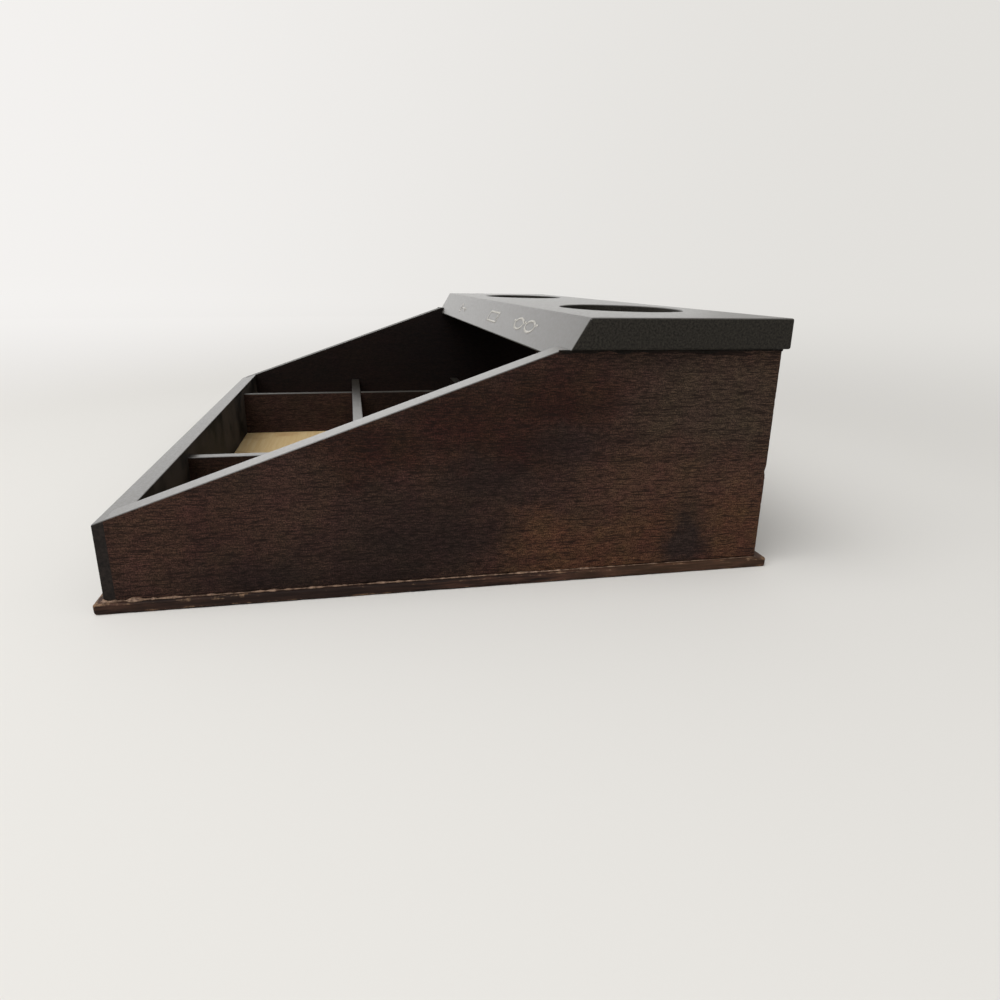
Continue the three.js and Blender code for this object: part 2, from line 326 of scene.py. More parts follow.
@dataclass(frozen=True)
class StainedWood(Finish):
    """Open-grained hardwood under a thin dark walnut stain, wiped on by hand and left matt.

    The eye gets a dark brown ground that is uneven in broad patches, with fine fibres, specks and
    thin dark pores along the grain. Real fibres and pores are about 0.2 mm wide; they are drawn
    two to three times as coarse, so that they show.
    """

    grain: Grain = Grain.ALONG_Y
    patch_tints: tuple[PatchTint, ...] = ()
    # Height of the dark band under the shelf, which is painted shade and paint run into the grain; None for
    # no band.
    shade_and_paint_bleed_z: float | None = None
    brown: str = "#38261f"
    dark: str = "#241a16"
    # Colour of the pores, and of the painted shade and run paint under the shelf.
    pore_and_shade: str = "#150a06"
    clouds: Pattern = Pattern(30.0, 1.7, high=0.6, start=0.4)
    streaks: Pattern = Pattern(3.2, 24.0, start=0.82, end=1.18)
    fibres: Pattern = Pattern(0.55, 5.0, 3.0, 0.75, start=0.4, end=1.6)
    speckle: Pattern = Pattern(0.5, 1.0, 2.0, 0.75, start=0.3, end=1.7)
    pores: Pattern = Pattern(0.6, 16.0, 1.0, low=0.44, high=0.34, end=0.75)
    pore_depth: float = 0.06
    # Ragged edge, rise and strength of the band under the shelf: painted shade and run paint.
    shade_and_bleed_edge: Pattern = Pattern(2.4, 9.0, end=4.0 * MM)
    shade_and_bleed_rise: Range = (2.9, 3.5)
    shade_and_bleed_strength: float = 0.85
    ripple_size: float = 14.0
    ripple_detail: float = 4.0
    ripple_roughness: float = 0.65
    ripple_reach: tuple[float, float, float] = (0.0, 30.0 * MM, 24.0 * MM)
    ripple_range: Range = (0.35, 0.65)
    hues: Range = (0.488, 0.512)
    fibre_range: Range = (0.5, 1.5)
    gloss: Range = (0.76, 0.6)
    specular: float = 0.12

    def ground(self, tree: Tree, coords: Socket) -> Socket:
        """Colour of the uneven stain: broad clouds, the board's own patches of tint, which are painted
        shade on the tray's inner boards, and a drift of hue.

        Args:
            tree: node tree to add to.
            coords: object coordinates.

        Returns:
            The colour.
        """
        tints = {"data_type": "RGBA", FIRST: linear(self.dark), SECOND: linear(self.brown)}
        clouds = self.clouds.lay(tree, coords, self.grain)
        colour = add_node(tree, "Mix", tints, {SHARE: clouds}, MIXED)
        waves = {
            "Scale": per_metre(self.ripple_size),
            "Detail": self.ripple_detail,
            "Roughness": self.ripple_roughness,
        }
        ripple = add_node(tree, "TexNoise", waves, {"Vector": coords}, "Color")
        middle = {"operation": "SUBTRACT", 1: NOISE_MIDDLE}
        shift = add_node(tree, "VectorMath", middle, {0: ripple})
        reach = {"operation": "MULTIPLY_ADD", 1: self.ripple_reach}
        uneven = add_node(tree, "VectorMath", reach, {0: shift, 2: coords})
        # Patches of tint: uneven stain on most boards, painted shade deep in the tray on the inner ones.
        for stain in self.patch_tints:
            colour = stain.lay_over(tree, uneven, colour)
        span = dict(zip(SPAN, self.ripple_range + self.hues))
        hue = add_node(tree, "MapRange", span, {"Value": ripple.node.outputs["Fac"]})
        return add_node(tree, "HueSaturation", {}, {"Hue": hue, "Color": colour})

    def shade_and_bleed_mask(self, tree: Tree, coords: Socket) -> Socket:
        """Mask of a dark band on the board under the shelf: painted shade under the shelf's ends, and the
        shelf's paint that ran into the grain.

        Args:
            tree: node tree to add to.
            coords: object coordinates.

        Returns:
            The mask.
        """
        height = add_node(tree, "SeparateXYZ", {}, {0: coords}, "Z")
        ragged = self.shade_and_bleed_edge.lay(tree, coords, self.grain)
        level = add_node(tree, "Math", {"operation": "ADD"}, {0: ragged, 1: height})
        low, high = ((self.shade_and_paint_bleed_z + rise) * MM for rise in self.shade_and_bleed_rise)
        span = {"From Min": low, "From Max": high, "To Max": self.shade_and_bleed_strength}
        return add_node(tree, "MapRange", span, {"Value": level})

    def paint(self, tree: Tree, coords: Socket) -> ShaderInputs:
        """Add ground, streaks, fibres, specks and pores, and the relief of the pores.

        Args:
            tree: node tree to add to.
            coords: object coordinates.

        Returns:
            Inputs of the shader.
        """
        colour = self.ground(tree, coords)
        streaks, fibres, speckle, pores = (
            pattern.lay(tree, coords, self.grain)
            for pattern in (self.streaks, self.fibres, self.speckle, self.pores)
        )
        for tone in (streaks, fibres, speckle):
            colour = add_node(tree, "Mix", MULTIPLY, {FIRST: colour, SECOND: tone}, MIXED)
        # Pores and the band under the shelf, which is painted shade and run paint, take the same dark
        # colour.
        masks = [pores]
        if self.shade_and_paint_bleed_z is not None:
            masks.append(self.shade_and_bleed_mask(tree, coords))
        for mask in masks:
            tint = {"data_type": "RGBA", SECOND: linear(self.pore_and_shade)}
            colour = add_node(tree, "Mix", tint, {SHARE: mask, FIRST: colour}, MIXED)
        span = dict(zip(SPAN, self.fibre_range + self.gloss))
        dent = {"invert": True, "Distance": self.pore_depth * MM}
        return {
            "Base Color": colour,
            "Roughness": add_node(tree, "MapRange", span, {"Value": fibres}),
            "Normal": add_node(tree, "Bump", dent, {"Height": pores}),
            "Specular IOR Level": self.specular,
        }


@dataclass(frozen=True)
class Mottled(Finish):
    """Two close tints mixed by one pattern that also changes the gloss; another gives the relief."""

    light: str
    deep: str
    mottle: Pattern
    grit: Pattern
    grit_depth: float
    gloss: Range
    specular: float = 0.5
    metallic: float = 0.0
    coat: float = 0.0
    coat_roughness: float = 0.3
    rubbed: tuple[Patch, ...] = ()
    grain: Grain = Grain.ALONG_Y
    smear: str = ""
    smears: Pattern | None = None

    def paint(self, tree: Tree, coords: Socket) -> ShaderInputs:
        """Add the mottle, its change of gloss, smears, the relief and the clear coat.

        Args:
            tree: node tree to add to.
            coords: object coordinates.

        Returns:
            Inputs of the shader.
        """
        cover = self.mottle.lay(tree, coords, self.grain)
        tints = {"data_type": "RGBA", FIRST: linear(self.deep), SECOND: linear(self.light)}
        colour = add_node(tree, "Mix", tints, {SHARE: cover}, MIXED)
        if self.smears:
            tint = {"data_type": "RGBA", SECOND: linear(self.smear)}
            mask = self.smears.lay(tree, coords)
            colour = add_node(tree, "Mix", tint, {SHARE: mask, FIRST: colour}, MIXED)
        sheen = dict(zip(SPAN[2:], self.gloss))
        grit = self.grit.lay(tree, coords, self.grain)
        coat = patch_mask(tree, coords, self.rubbed, self.coat) if self.rubbed else self.coat
        return {
            "Base Color": colour,
            "Roughness": add_node(tree, "MapRange", sheen, {"Value": cover}),
            "Normal": add_node(tree, "Bump", {"Distance": self.grit_depth * MM}, {"Height": grit}),
            "Specular IOR Level": self.specular,
            "Metallic": self.metallic,
            "Coat Weight": coat,
            "Coat Roughness": self.coat_roughness,
        }


@dataclass(frozen=True)
class BlackPaint(Mottled):
    """Black furniture paint, rolled on: near black face on, with a pale sheen along the surface.

    A faint mottle and a fine pebbled relief are left by the roller. A rubbed clear coat makes the
    sheen of the top faces stronger.
    """

    light: str = "#37332d"
    deep: str = "#15130f"
    mottle: Pattern = Pattern(1.3, roughness=0.7)
    grit: Pattern = Pattern(0.8, detail=2.0)
    grit_depth: float = 0.005
    gloss: Range = (0.3, 0.42)


@dataclass(frozen=True)
class StainedPlywood(Finish):
    """Thin plywood whose cut edges were wiped with the same stain.

    The plies show as faint level bands, the stain is blotchy, and the tan wood comes through
    where the rim is rubbed.
    """

    patch_tints: tuple[PatchTint, ...] = ()
    brown: str = "#4b3227"
    dark: str = "#1d1411"
    raw: str = "#8f735a"
    plies: Pattern = Pattern(1.1, 16.0, roughness=0.65, low=0.35, high=0.65)
    blotches: Pattern = Pattern(5.0, 2.0, 5.0, 0.7, start=0.5, end=1.25)
    rubs: Pattern = Pattern(4.0, 1.0, 6.0, 0.75, low=0.0, high=1.0)
    ply_depth: float = 0.05
    ply_share: float = 0.3
    bare_range: Range = (0.6, 0.85)
    bare_strength: float = 0.8
    gloss: Range = (0.72, 0.6)
    specular: float = 0.15

    def paint(self, tree: Tree, coords: Socket) -> ShaderInputs:
        """Add plies, blotches, stains and the rubbed rim.

        Args:
            tree: node tree to add to.
            coords: object coordinates.

        Returns:
            Inputs of the shader.
        """
        plies = self.plies.lay(tree, coords, Grain.LEVEL)
        tints = {"data_type": "RGBA", FIRST: linear(self.dark), SECOND: linear(self.brown)}
        colour = add_node(tree, "Mix", tints, {SHARE: plies}, MIXED)
        blotches = self.blotches.lay(tree, coords, Grain.LEVEL)
        colour = add_node(tree, "Mix", MULTIPLY, {FIRST: colour, SECOND: blotches}, MIXED)
        for stain in self.patch_tints:
            colour = stain.lay_over(tree, coords, colour)
        wear = add_node(tree, "Attribute", {"attribute_name": WEAR_LAYER}, output="Fac")
        rubs = self.rubs.lay(tree, coords)
        worn = add_node(tree, "Math", {"operation": "MULTIPLY"}, {0: rubs, 1: wear})
        bare = add_node(tree, "Math", {"operation": "MULTIPLY_ADD", 1: self.ply_share}, {0: plies, 2: worn})
        span = dict(zip(("From Min", "From Max", "To Max"), (*self.bare_range, self.bare_strength)))
        mask = add_node(tree, "MapRange", {"interpolation_type": "SMOOTHSTEP", **span}, {"Value": bare})
        tint = {"data_type": "RGBA", SECOND: linear(self.raw)}
        sheen = dict(zip(SPAN[2:], self.gloss))
        return {
            "Base Color": add_node(tree, "Mix", tint, {SHARE: mask, FIRST: colour}, MIXED),
            "Roughness": add_node(tree, "MapRange", sheen, {"Value": plies}),
            "Normal": add_node(tree, "Bump", {"Distance": self.ply_depth * MM}, {"Height": plies}),
            "Specular IOR Level": self.specular,
        }


@dataclass(frozen=True)
class BareWood(Mottled):
    """Unfinished pale wood, sanded: cream ground with fine darker grain and stray stain smears."""

    light: str = "#ccb88e"
    deep: str = "#b99866"
    mottle: Pattern = Pattern(1.6, 20.0, 5.0, start=0.3, end=0.7)
    grit: Pattern = mottle
    grit_depth: float = 0.02
    gloss: Range = (0.84, 0.72)
    specular: float = 0.2
    grain: Grain = Grain.ALONG_X
    smear: str = "#99704c"
    smears: Pattern | None = Pattern(34.0, 1.0, 5.0, low=0.52, high=0.72, end=0.5)


# Paint rolled on and left matt: near black and dull, with a fine grey mottle.
MATT_PAINT = BlackPaint(
    "matt_black_paint",
    light="#322f29",
    deep="#0e0c0a",
    mottle=Pattern(0.8, roughness=0.7),
    gloss=(0.55, 0.7),
    specular=0.15,
)
# The same on the rail's front and ends: a little browner.
RAIL_MATT_PAINT = BlackPaint(
    "matt_black_paint_on_rail", light="#2a2320", deep="#0d0a08", gloss=(0.55, 0.7), specular=0.15
)
# Top edges that hands have rubbed: a strong pale sheen that fades towards both ends.
RUBBED_PAINT = BlackPaint("rubbed_black_paint", coat=0.75, rubbed=(Patch(0, 60, 185, 185),))
# Top and leaning front of the shelf: an even, softer sheen.
SATIN_PAINT = BlackPaint("satin_black_paint", coat=0.5, coat_roughness=0.45)
# Top of the rail: the shelf's paint with less sheen.
RAIL_PAINT = BlackPaint("satin_black_paint_on_rail", coat=0.2, coat_roughness=0.45)
# Top of the left panel: worn until only a weak sheen is left.
WORN_PAINT = BlackPaint("worn_black_paint", gloss=(0.4, 0.52), specular=0.38)
# Top of the left divider: hardly any sheen.
DULL_PAINT = BlackPaint("dull_black_paint", gloss=(0.45, 0.6), specular=0.25)
# Thin wash inside the rail: black with broad grey-brown patches.
THIN_PAINT = BlackPaint(
    "thin_black_wash",
    light="#3c3632",
    deep="#0c0a09",
    mottle=Pattern(26.0, roughness=0.7, low=0.38, high=0.6),
    gloss=(0.6, 0.8),
    specular=0.1,
)
# Thick paint that dried in the seam under the shelf: brown-black and dull.
SEAM_PAINT = BlackPaint(
    "black_paint_run_in_seam", light="#1d1713", deep="#0a0705", gloss=(0.65, 0.8), specular=0.1
)
GOLDEN = "#4b3122"
DEEP = "#1f1512"
# Height from which the dark band under the shelf is drawn: painted shade and paint run into the grain.
SHADE_AND_BLEED_Z = 87.0
# Plain walnut stain on the back and under the base: dark brown, grain from side to side.
STAIN_CROSS = StainedWood("walnut_stain_side_to_side", grain=Grain.ALONG_X)
# Right panel: greyish rear top, red-brown front, golden low rear and a dark middle.
STAIN_RIGHT = StainedWood(
    "walnut_stain_right_panel",
    patch_tints=(
        PatchTint("#392d24", 0.85, (Patch(100, 66, 54, 36),)),
        PatchTint("#39251d", 0.8, (Patch(-104, 28, 46, 30),)),
        PatchTint("#432e23", 0.8, (Patch(76, 36, 54, 24), Patch(112, 34, 34, 26))),
        PatchTint(
            GOLDEN,
            0.9,
            (Patch(52, 8, 50, 22), Patch(84, 16, 44, 20), Patch(116, 16, 26, 26), Patch(32, 19, 26, 16)),
        ),
        PatchTint(
            "#27130b",
            0.85,
            (Patch(-28, 56, 40, 20), Patch(4, 64, 44, 24), Patch(36, 70, 36, 26), Patch(26, 56, 28, 18)),
        ),
        PatchTint(
            DEEP,
            0.8,
            (Patch(8, 43, 24, 12), Patch(-14, 22, 40, 26), Patch(-30, 8, 36, 16), Patch(-72, 7, 42, 18)),
        ),
        PatchTint("#251d1b", 0.5, (Patch(40, 55, 24, 13),)),
        PatchTint("#211a1a", 0.85, (Patch(91, 15, 16, 22),)),
    ),
    shade_and_paint_bleed_z=SHADE_AND_BLEED_Z,
)
# Left panel: golden low front and high rear, dark between them.
STAIN_LEFT = StainedWood(
    "walnut_stain_left_panel",
    patch_tints=(
        PatchTint(GOLDEN, 0.8, (Patch(-90, 20, 36, 18), Patch(96, 60, 44, 26))),
        PatchTint(DEEP, 0.8, (Patch(60, 30, 50, 30), Patch(-40, 18, 40, 22), Patch(10, 60, 36, 22))),
    ),
    shade_and_paint_bleed_z=SHADE_AND_BLEED_Z,
)
# Inside of the panels: walnut stain darkened almost to black as painted shade inside the tray, with the
# most painted shade towards the shelf.
INSIDE_SHADE_LONG = StainedWood(
    "walnut_stain_painted_shade_front_to_back",
    patch_tints=(PatchTint("#0b0606", 0.9, (Patch(50, 62, 90, 60),)),),
    brown="#140a07",
    dark="#0b0605",
)
# Cross dividers: walnut stain darkened almost to black all over, as painted shade inside the tray.
INSIDE_SHADE_CROSS = StainedWood(
    "walnut_stain_painted_shade_side_to_side", grain=Grain.ALONG_X, brown="#120a07", dark="#0a0605"
)
# Left divider: brown stain at its front, darkened almost to black from the middle on as painted shade
# behind the front cross divider.
STAIN_AND_SHADE_DIVIDER = StainedWood(
    "walnut_stain_and_painted_shade_dividers", patch_tints=(PatchTint("#0f0805", 0.75, (Patch(16, 18, 84, 80),)),)
)
# Right divider: an even dark brown.
STAIN_RIGHT_DIVIDER = StainedWood("walnut_stain_right_divider", brown="#2a1b15", dark="#1b120f")
# Rim of the base: dark plies at the front, a little tan at the rear.
STAINED_PLYWOOD = StainedPlywood(
    "stained_plywood_edge",
    patch_tints=(
        PatchTint("#1f1410", 0.78, (Patch(-60, 2, 90, 90),)),
        PatchTint("#6e5038", 0.2, (Patch(95, 2, 60, 60),)),
    ),
)
# Floor of the tray: bare birch plywood, pale cream.
BARE_PLYWOOD = BareWood("bare_birch_plywood")
# Dowels: bare beech, a warmer cream.
BEECH_DOWEL = BareWood("bare_beech_dowel", light="#d6b98a", deep="#b08f62")
# Wood glue squeezed out and dried with sanding dust in it: tan, dull and crumbly.
DRIED_GLUE = Mottled(
    "dried_wood_glue",
    light="#947863",
    deep="#4a3427",
    mottle=Pattern(2.6, detail=5.0, roughness=0.75, low=0.35, high=0.6),
    grit=Pattern(1.3, detail=3.0),
    grit_depth=0.05,
    gloss=(0.75, 0.65),
)
# Screen ink of the marks: pale grey, thin, matt and a little uneven.
PRINTED_INK = Mottled(
    "pale_printed_ink",
    light="#c2bfb8",
    deep="#a19e97",
    mottle=Pattern(1.2, detail=3.0),
    grit=Pattern(0.8, detail=2.0),
    grit_depth=0.003,
    gloss=(0.6, 0.5),
)
# Zinc-plated steel screws: grey metal with a cloudy, slightly dulled shine.
ZINC_STEEL = Mottled(
    "zinc_plated_steel",
    light="#c4c2bb",
    deep="#8f8d86",
    mottle=Pattern(1.5),
    grit=Pattern(0.6, detail=2.0),
    grit_depth=0.002,
    gloss=(0.28, 0.48),
    metallic=1.0,
)


def verts_in(geometry: Sequence[object]) -> list[bmesh.types.BMVert]:
    """Vertices among the results of an operator."""
    return [item for item in geometry if isinstance(item, bmesh.types.BMVert)]


def prism(outline: Outline, low_x: float, high_x: float) -> Bm:
    """Extrude an outline in Y and Z along X to a closed solid.

    Args:
        outline: corners as Y and Z.
        low_x: left end.
        high_x: right end.

    Returns:
        The solid.
    """
    bm = bmesh.new()
    face = bm.faces.new([bm.verts.new((low_x, y, z)) for y, z in outline])
    moved = verts_in(bmesh.ops.extrude_face_region(bm, geom=[face])["geom"])
    bmesh.ops.translate(bm, verts=moved, vec=(high_x - low_x, 0.0, 0.0))
    bmesh.ops.recalc_face_normals(bm, faces=bm.faces)
    return bm


def add_block(bm: Bm, low: Vector, high: Vector) -> None:
    """Add a rectangular block between two corners."""
    place = Matrix.Translation((low + high) / 2) @ Matrix.Diagonal((*(high - low), 1.0))
    bmesh.ops.create_cube(bm, size=1.0, matrix=place)


def add_turned(bm: Bm, profile: Outline, centre: Vector, steps: int = 28) -> None:
    """Spin a profile of radius and height about an upright axis.

    Args:
        bm: mesh to add to.
        profile: radius and height of each corner, from axis to axis.
        centre: foot of the axis.
        steps: number of facets.
    """
    verts = [bm.verts.new(centre + Vector((radius, 0.0, height))) for radius, height in profile]
    turned = verts + [bm.edges.new(pair) for pair in zip(verts, verts[1:])]
    bmesh.ops.spin(
        bm, geom=turned, cent=centre, axis=Z_AXIS, angle=math.tau, steps=steps, use_merge=True
    )
    bmesh.ops.remove_doubles(bm, verts=bm.verts, dist=SAME_POINT)
    bmesh.ops.recalc_face_normals(bm, faces=bm.faces)


def sharp_edges(bm: Bm, least_degrees: float = 25.0) -> list[Edge]:
    """Edges that stand out and turn by more than an angle."""
    least = math.radians(least_degrees)
    return [e for e in bm.edges if e.is_manifold and e.is_convex and e.calc_face_angle() > least]


def ease(bm: Bm, edges: list[Edge], size: float, segments: int = 3) -> None:
    """Round edges over a small distance in metres, as sandpaper does."""
    bmesh.ops.bevel(
        bm,
        geom=edges,
        offset=size,
        offset_type="OFFSET",
        segments=segments,
        profile=0.5,
        affect="EDGES",
        material=-1,
        clamp_overlap=True,
    )


def split(bm: Bm, point: Vector, normal: Vector) -> None:
    """Cut new edges into a mesh along a plane, and keep both halves."""
    everything = bm.verts[:] + bm.edges[:] + bm.faces[:]
    bmesh.ops.bisect_plane(bm, geom=everything, plane_co=point, plane_no=normal, dist=ON_PLANE)


def lies_at(edge: Edge, axis: Axis, *levels: float) -> bool:
    """Say whether an edge lies in a plane across an axis, at one of some levels."""
    ends = [vert.co[axis.value] for vert in edge.verts]
    return any(all(abs(end - level) < SAME_POINT for end in ends) for level in levels)


def grow_ends(bm: Bm, chosen: Callable[[Vector], bool], reach: float) -> None:
    """Extrude some of a board's end faces further out to the left and right.

    Args:
        bm: board along X.
        chosen: says from a face's middle whether it grows.
        reach: half width that the grown ends reach.
    """
    for side in Side:
        ends = [f for f in bm.faces if f.normal.x * side.value > FACING]
        faces = [f for f in ends if chosen(f.calc_center_median())]
        for vert in verts_in(bmesh.ops.extrude_face_region(bm, geom=faces)["geom"]):
            vert.co.x = side.value * reach
        bmesh.ops.delete(bm, geom=[f for f in faces if f.is_valid], context="FACES_ONLY")
    bmesh.ops.recalc_face_normals(bm, faces=bm.faces)


def finished(name: str, bm: Bm, finishes: Sequence[Finish]) -> bpy.types.Object:
    """Turn a bmesh into an object at the origin, smoothly shaded.

    Args:
        name: object name.
        bm: mesh, which is freed.
        finishes: finish of each material index.

    Returns:
        The object.
    """
    for face in bm.faces:
        face.smooth = True
    mesh = bpy.data.meshes.new(name)
    bm.to_mesh(mesh)
    bm.free()
    for finish in finishes:
        mesh.materials.append(finish.material())
    piece = bpy.data.objects.new(name, mesh)
    bpy.context.collection.objects.link(piece)
    return piece


def carve(piece: bpy.types.Object, cutter: Bm) -> None:
    """Take a closed cutter away from a piece, and keep the result as the piece's mesh.

    Args:
        piece: piece to cut.
        cutter: solids to take away, which are freed.
    """
    tool = finished("cutter", cutter, ())
    cut = piece.modifiers.new("cut", "BOOLEAN")
    cut.operation = "DIFFERENCE"
    cut.solver = "EXACT"
    cut.object = tool
    graph = bpy.context.evaluated_depsgraph_get()
    mesh = bpy.data.meshes.new_from_object(piece.evaluated_get(graph))
    piece.modifiers.remove(cut)
    piece.data = mesh
    bpy.data.objects.remove(tool)


def ride_along(piece: bpy.types.Object) -> None:
    """Let a piece ride on the body, and report it."""
    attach(piece, BODY)
    LOG.info("%s: %d faces", piece.name, len(piece.data.polygons))


def waver(seed: float, place: float, pitch: float) -> float:
    """Smooth repeatable unevenness from -1 to 1 along a length, with bumps a pitch apart."""
    return noise.noise(Vector((seed, place / pitch, NOISE_LAYER)))


@dataclass(frozen=True)
class TrayFaces:
    """Faces that several boards share, read from the frame, in metres."""

    inner_x: float
    outer_x: float
    front_y: float
    rail_back_y: float
    slope_end_y: float
    back_y: float
    floor_z: float
    rail_top_z: float
    wall_top_z: float

    @classmethod
    def from_frame(cls) -> TrayFaces:
        """Read the faces from the nodes' boxes.

        Returns:
            The faces.
        """
        panel_low, panel_high = NODE_BOXES["right_side_panel"]
        rail_low, rail_high = NODE_BOXES["front_rail"]
        return cls(
            inner_x=panel_low.x,
            outer_x=panel_high.x,
            front_y=rail_low.y,
            rail_back_y=rail_high.y,
            slope_end_y=NODE_BOXES["top_shelf"][0].y,
            back_y=panel_high.y,
            floor_z=NODE_BOXES["base_plate"][1].z,
            rail_top_z=rail_high.z,
            wall_top_z=panel_high.z,
        )

    def slope_z(self, y: float) -> float:
        """Height of the sloped top edges at a place from front to back."""
        rise = (self.wall_top_z - self.rail_top_z) / (self.slope_end_y - self.rail_back_y)
        return self.wall_top_z + (y - self.slope_end_y) * rise


@dataclass(frozen=True)
class Fasteners:
    """Screws and dowels: their nodes stay, and boards are bored for them. Millimetres."""

    clearance: float = 0.2
    head_rim: float = 0.3
    shank_diameter: float = 3.0
    overcut: float = 2.0
    screw_prefix: str = "base_screw_"
    dowel_prefix: str = "shelf_dowel_"

    def dress(self) -> None:
        """Give the nodes their finishes, and report them."""
        screw = (self.screw_prefix, ZINC_STEEL, "zinc_steel")
        dowel = (self.dowel_prefix, BEECH_DOWEL, "dowel_wood")
        for prefix, finish, slot in (screw, dowel):
            for name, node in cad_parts.items():
                if name.startswith(prefix):
                    node.data.materials.clear()
                    node.data.materials.append(finish.material())
                    LOG.info("%s: node kept", name)

    def add_bores(self, bm: Bm, low: Vector, high: Vector) -> int:
        """Add a bore for each fastener that reaches into a box.

        Args:
            bm: cutter to add to.
            low: lowest corner of the board.
            high: highest corner of the board.

        Returns:
            The number of bores.
        """
        gap = self.clearance * MM
        count = 0
        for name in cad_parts:
            if not name.startswith((self.screw_prefix, self.dowel_prefix)):
                continue
            near, far = NODE_BOXES[name]
            if any(near[axis] > high[axis] or far[axis] < low[axis] for axis in range(3)):
                continue
            radius = (far.x - near.x) / 2 + gap
            length = far.z - near.z + gap
            start = -gap
            head = []
            if name.startswith(self.screw_prefix):
                shank = self.shank_diameter / 2 * MM + gap
                rim = self.head_rim * MM + gap
                start = -self.overcut * MM
                head = [(radius, rim), (shank, rim + radius - shank)]
            side = head[-1][0] if head else radius
            profile = [(0, start), (radius, start), *head, (side, length), (0, length)]
            add_turned(bm, profile, Vector(((near.x + far.x) / 2, (near.y + far.y) / 2, near.z)))
            count += 1
        return count


FASTENERS = Fasteners()


def cut_joints(piece: bpy.types.Object, node: str, let_in: dict[str, Lap]) -> None:
    """Cut the housings for the boards that are let into a piece, and the bores for its fasteners.

    Args:
        piece: board to cut.
        node: node that it stands for.
        let_in: other nodes that sit in it, and how much of their height does.
    """
    gap = Vector((GLUE_LINE, GLUE_LINE, GLUE_LINE))
    cutter = bmesh.new()
    for other, lap in let_in.items():
        low, high = NODE_BOXES[other]
        middle = (low.z + high.z) / 2
        low = low - gap
        high = high + gap
        if lap is Lap.UPPER_HALF:
            low.z = middle
        if lap is Lap.LOWER_HALF:
            high.z = middle + GLUE_LINE
        add_block(cutter, low, high)
    bores = FASTENERS.add_bores(cutter, *NODE_BOXES[node])
    if let_in or bores:
        carve(piece, cutter)
    else:
        cutter.free()


def stand_for(
    node: str, bm: Bm, finishes: Sequence[Finish], let_in: dict[str, Lap] | None = None
) -> None:
    """Turn a mesh into the board that replaces a node, cut its joints and shade it evenly.

    Args:
        node: node that the board stands for.
        bm: board without its joints, which is freed.
        finishes: finish of each material index.
        let_in: other nodes that sit in it, and how much of their height does.
    """
    piece = finished(f"{node}_board", bm, finishes)
    cut_joints(piece, node, let_in or {})
    piece.data.set_sharp_from_angle(angle=SHARP_ANGLE)
    even = piece.modifiers.new("even_shading", "WEIGHTED_NORMAL")
    even.mode = "FACE_AREA"
    even.weight = FACE_WEIGHT
    even.keep_sharp = True
    ride_along(piece)
    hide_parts(node)


def paint_skins(bm: Bm, inward: Vector | None = None, least: float = 0.45) -> None:
    """Give the faces that look up, and those that look into the tray, their material index.

    Args:
        bm: board.
        inward: direction from the board into the tray, if one face looks there.
        least: least share of a face's normal along a direction.
    """
    bm.normal_update()
    for face in bm.faces:
        skin = Skin.SIDES
        if face.normal.z > least:
            skin = Skin.TOPS
        elif inward and face.normal.dot(inward) > least:
            skin = Skin.INSIDE
        face.material_index = skin.value


@dataclass
class SidePanel:
    """One sloped side panel: brown faces, black top edge and a frayed rear edge. Millimetres."""

    side: Side
    faces: TrayFaces
    finish: StainedWood
    top_finish: BlackPaint
    let_in: dict[str, Lap]
    ease_size: float = 0.5
    eased_reach: float = 0.75
    least_upright: float = 20.0
    fray_cuts: int = 120
    fray_depth: float = 0.35
    fray_pitch: float = 1.3
    fray_change_per_metre: float = 90.0
    chip_height: float = 1.4
    chip_depth: float = 0.0
    chip_z: float = 41.0

    @property
    def node(self) -> str:
        """Node that the panel stands for."""
        return f"{self.side.name.lower()}_side_panel"

    def square_joint(self, bm: Bm) -> None:
        """Make the inner top corner square again along the rail, where paint fills the joint.

        Args:
            bm: panel with eased edges.
        """
        joint_y = self.faces.rail_back_y
        inner = self.side.value * self.faces.inner_x
        reach = self.eased_reach * MM
        for y in (joint_y, joint_y - TOUCH):
            split(bm, Y_AXIS * y, Y_AXIS)
        for vert in (v for v in bm.verts if v.co.y < joint_y - TOUCH / 2):
            top = self.faces.slope_z(vert.co.y)
            if abs(vert.co.x - inner) < reach and top - vert.co.z < reach:
                vert.co.x = inner
                vert.co.z = top
        bmesh.ops.remove_doubles(bm, verts=bm.verts, dist=SAME_POINT)

    def fray(self, bm: Bm) -> None:
        """Fray the rear edge across the grain, with one chip where the wood split.

        Args:
            bm: panel with eased edges.
        """
        rim = self.faces.back_y - self.eased_reach * MM
        rear = [e for e in bm.edges if min(v.co.y for v in e.verts) > rim]
        least = self.least_upright * MM
        upright = [e for e in rear if abs(e.verts[0].co.z - e.verts[1].co.z) > least]
        bmesh.ops.subdivide_edges(bm, edges=upright, cuts=self.fray_cuts, use_grid_fill=True)
        for vert in (v for v in bm.verts if v.co.y >= rim):
            layer = self.side.value + vert.co.x * self.fray_change_per_metre
            loss = max(waver(layer, vert.co.z, self.fray_pitch * MM), 0.0)
            from_chip = (vert.co.z / MM - self.chip_z) / self.chip_height
            chip = self.chip_depth * math.exp(-from_chip * from_chip)
            vert.co.y -= (self.fray_depth * loss ** 2 + chip) * MM

    def build(self) -> None:
        """Model the panel and let it stand for its node."""
        low, high = NODE_BOXES[self.node]
        front_y = low.y - GLUE_LINE + TOUCH
        outline = [
            (front_y, low.z),
            (high.y, low.z),
            (high.y, high.z),
            (self.faces.slope_end_y, high.z),
            (front_y, self.faces.slope_z(front_y)),
        ]
        bm = prism(outline, low.x, high.x)
        ease(bm, [e for e in sharp_edges(bm) if not lies_at(e, Axis.Y, front_y)], self.ease_size * MM)
        self.square_joint(bm)
        self.fray(bm)
        paint_skins(bm, X_AXIS * -self.side.value)
        finishes = (self.finish, self.top_finish, INSIDE_SHADE_LONG)
        stand_for(self.node, bm, finishes, self.let_in)


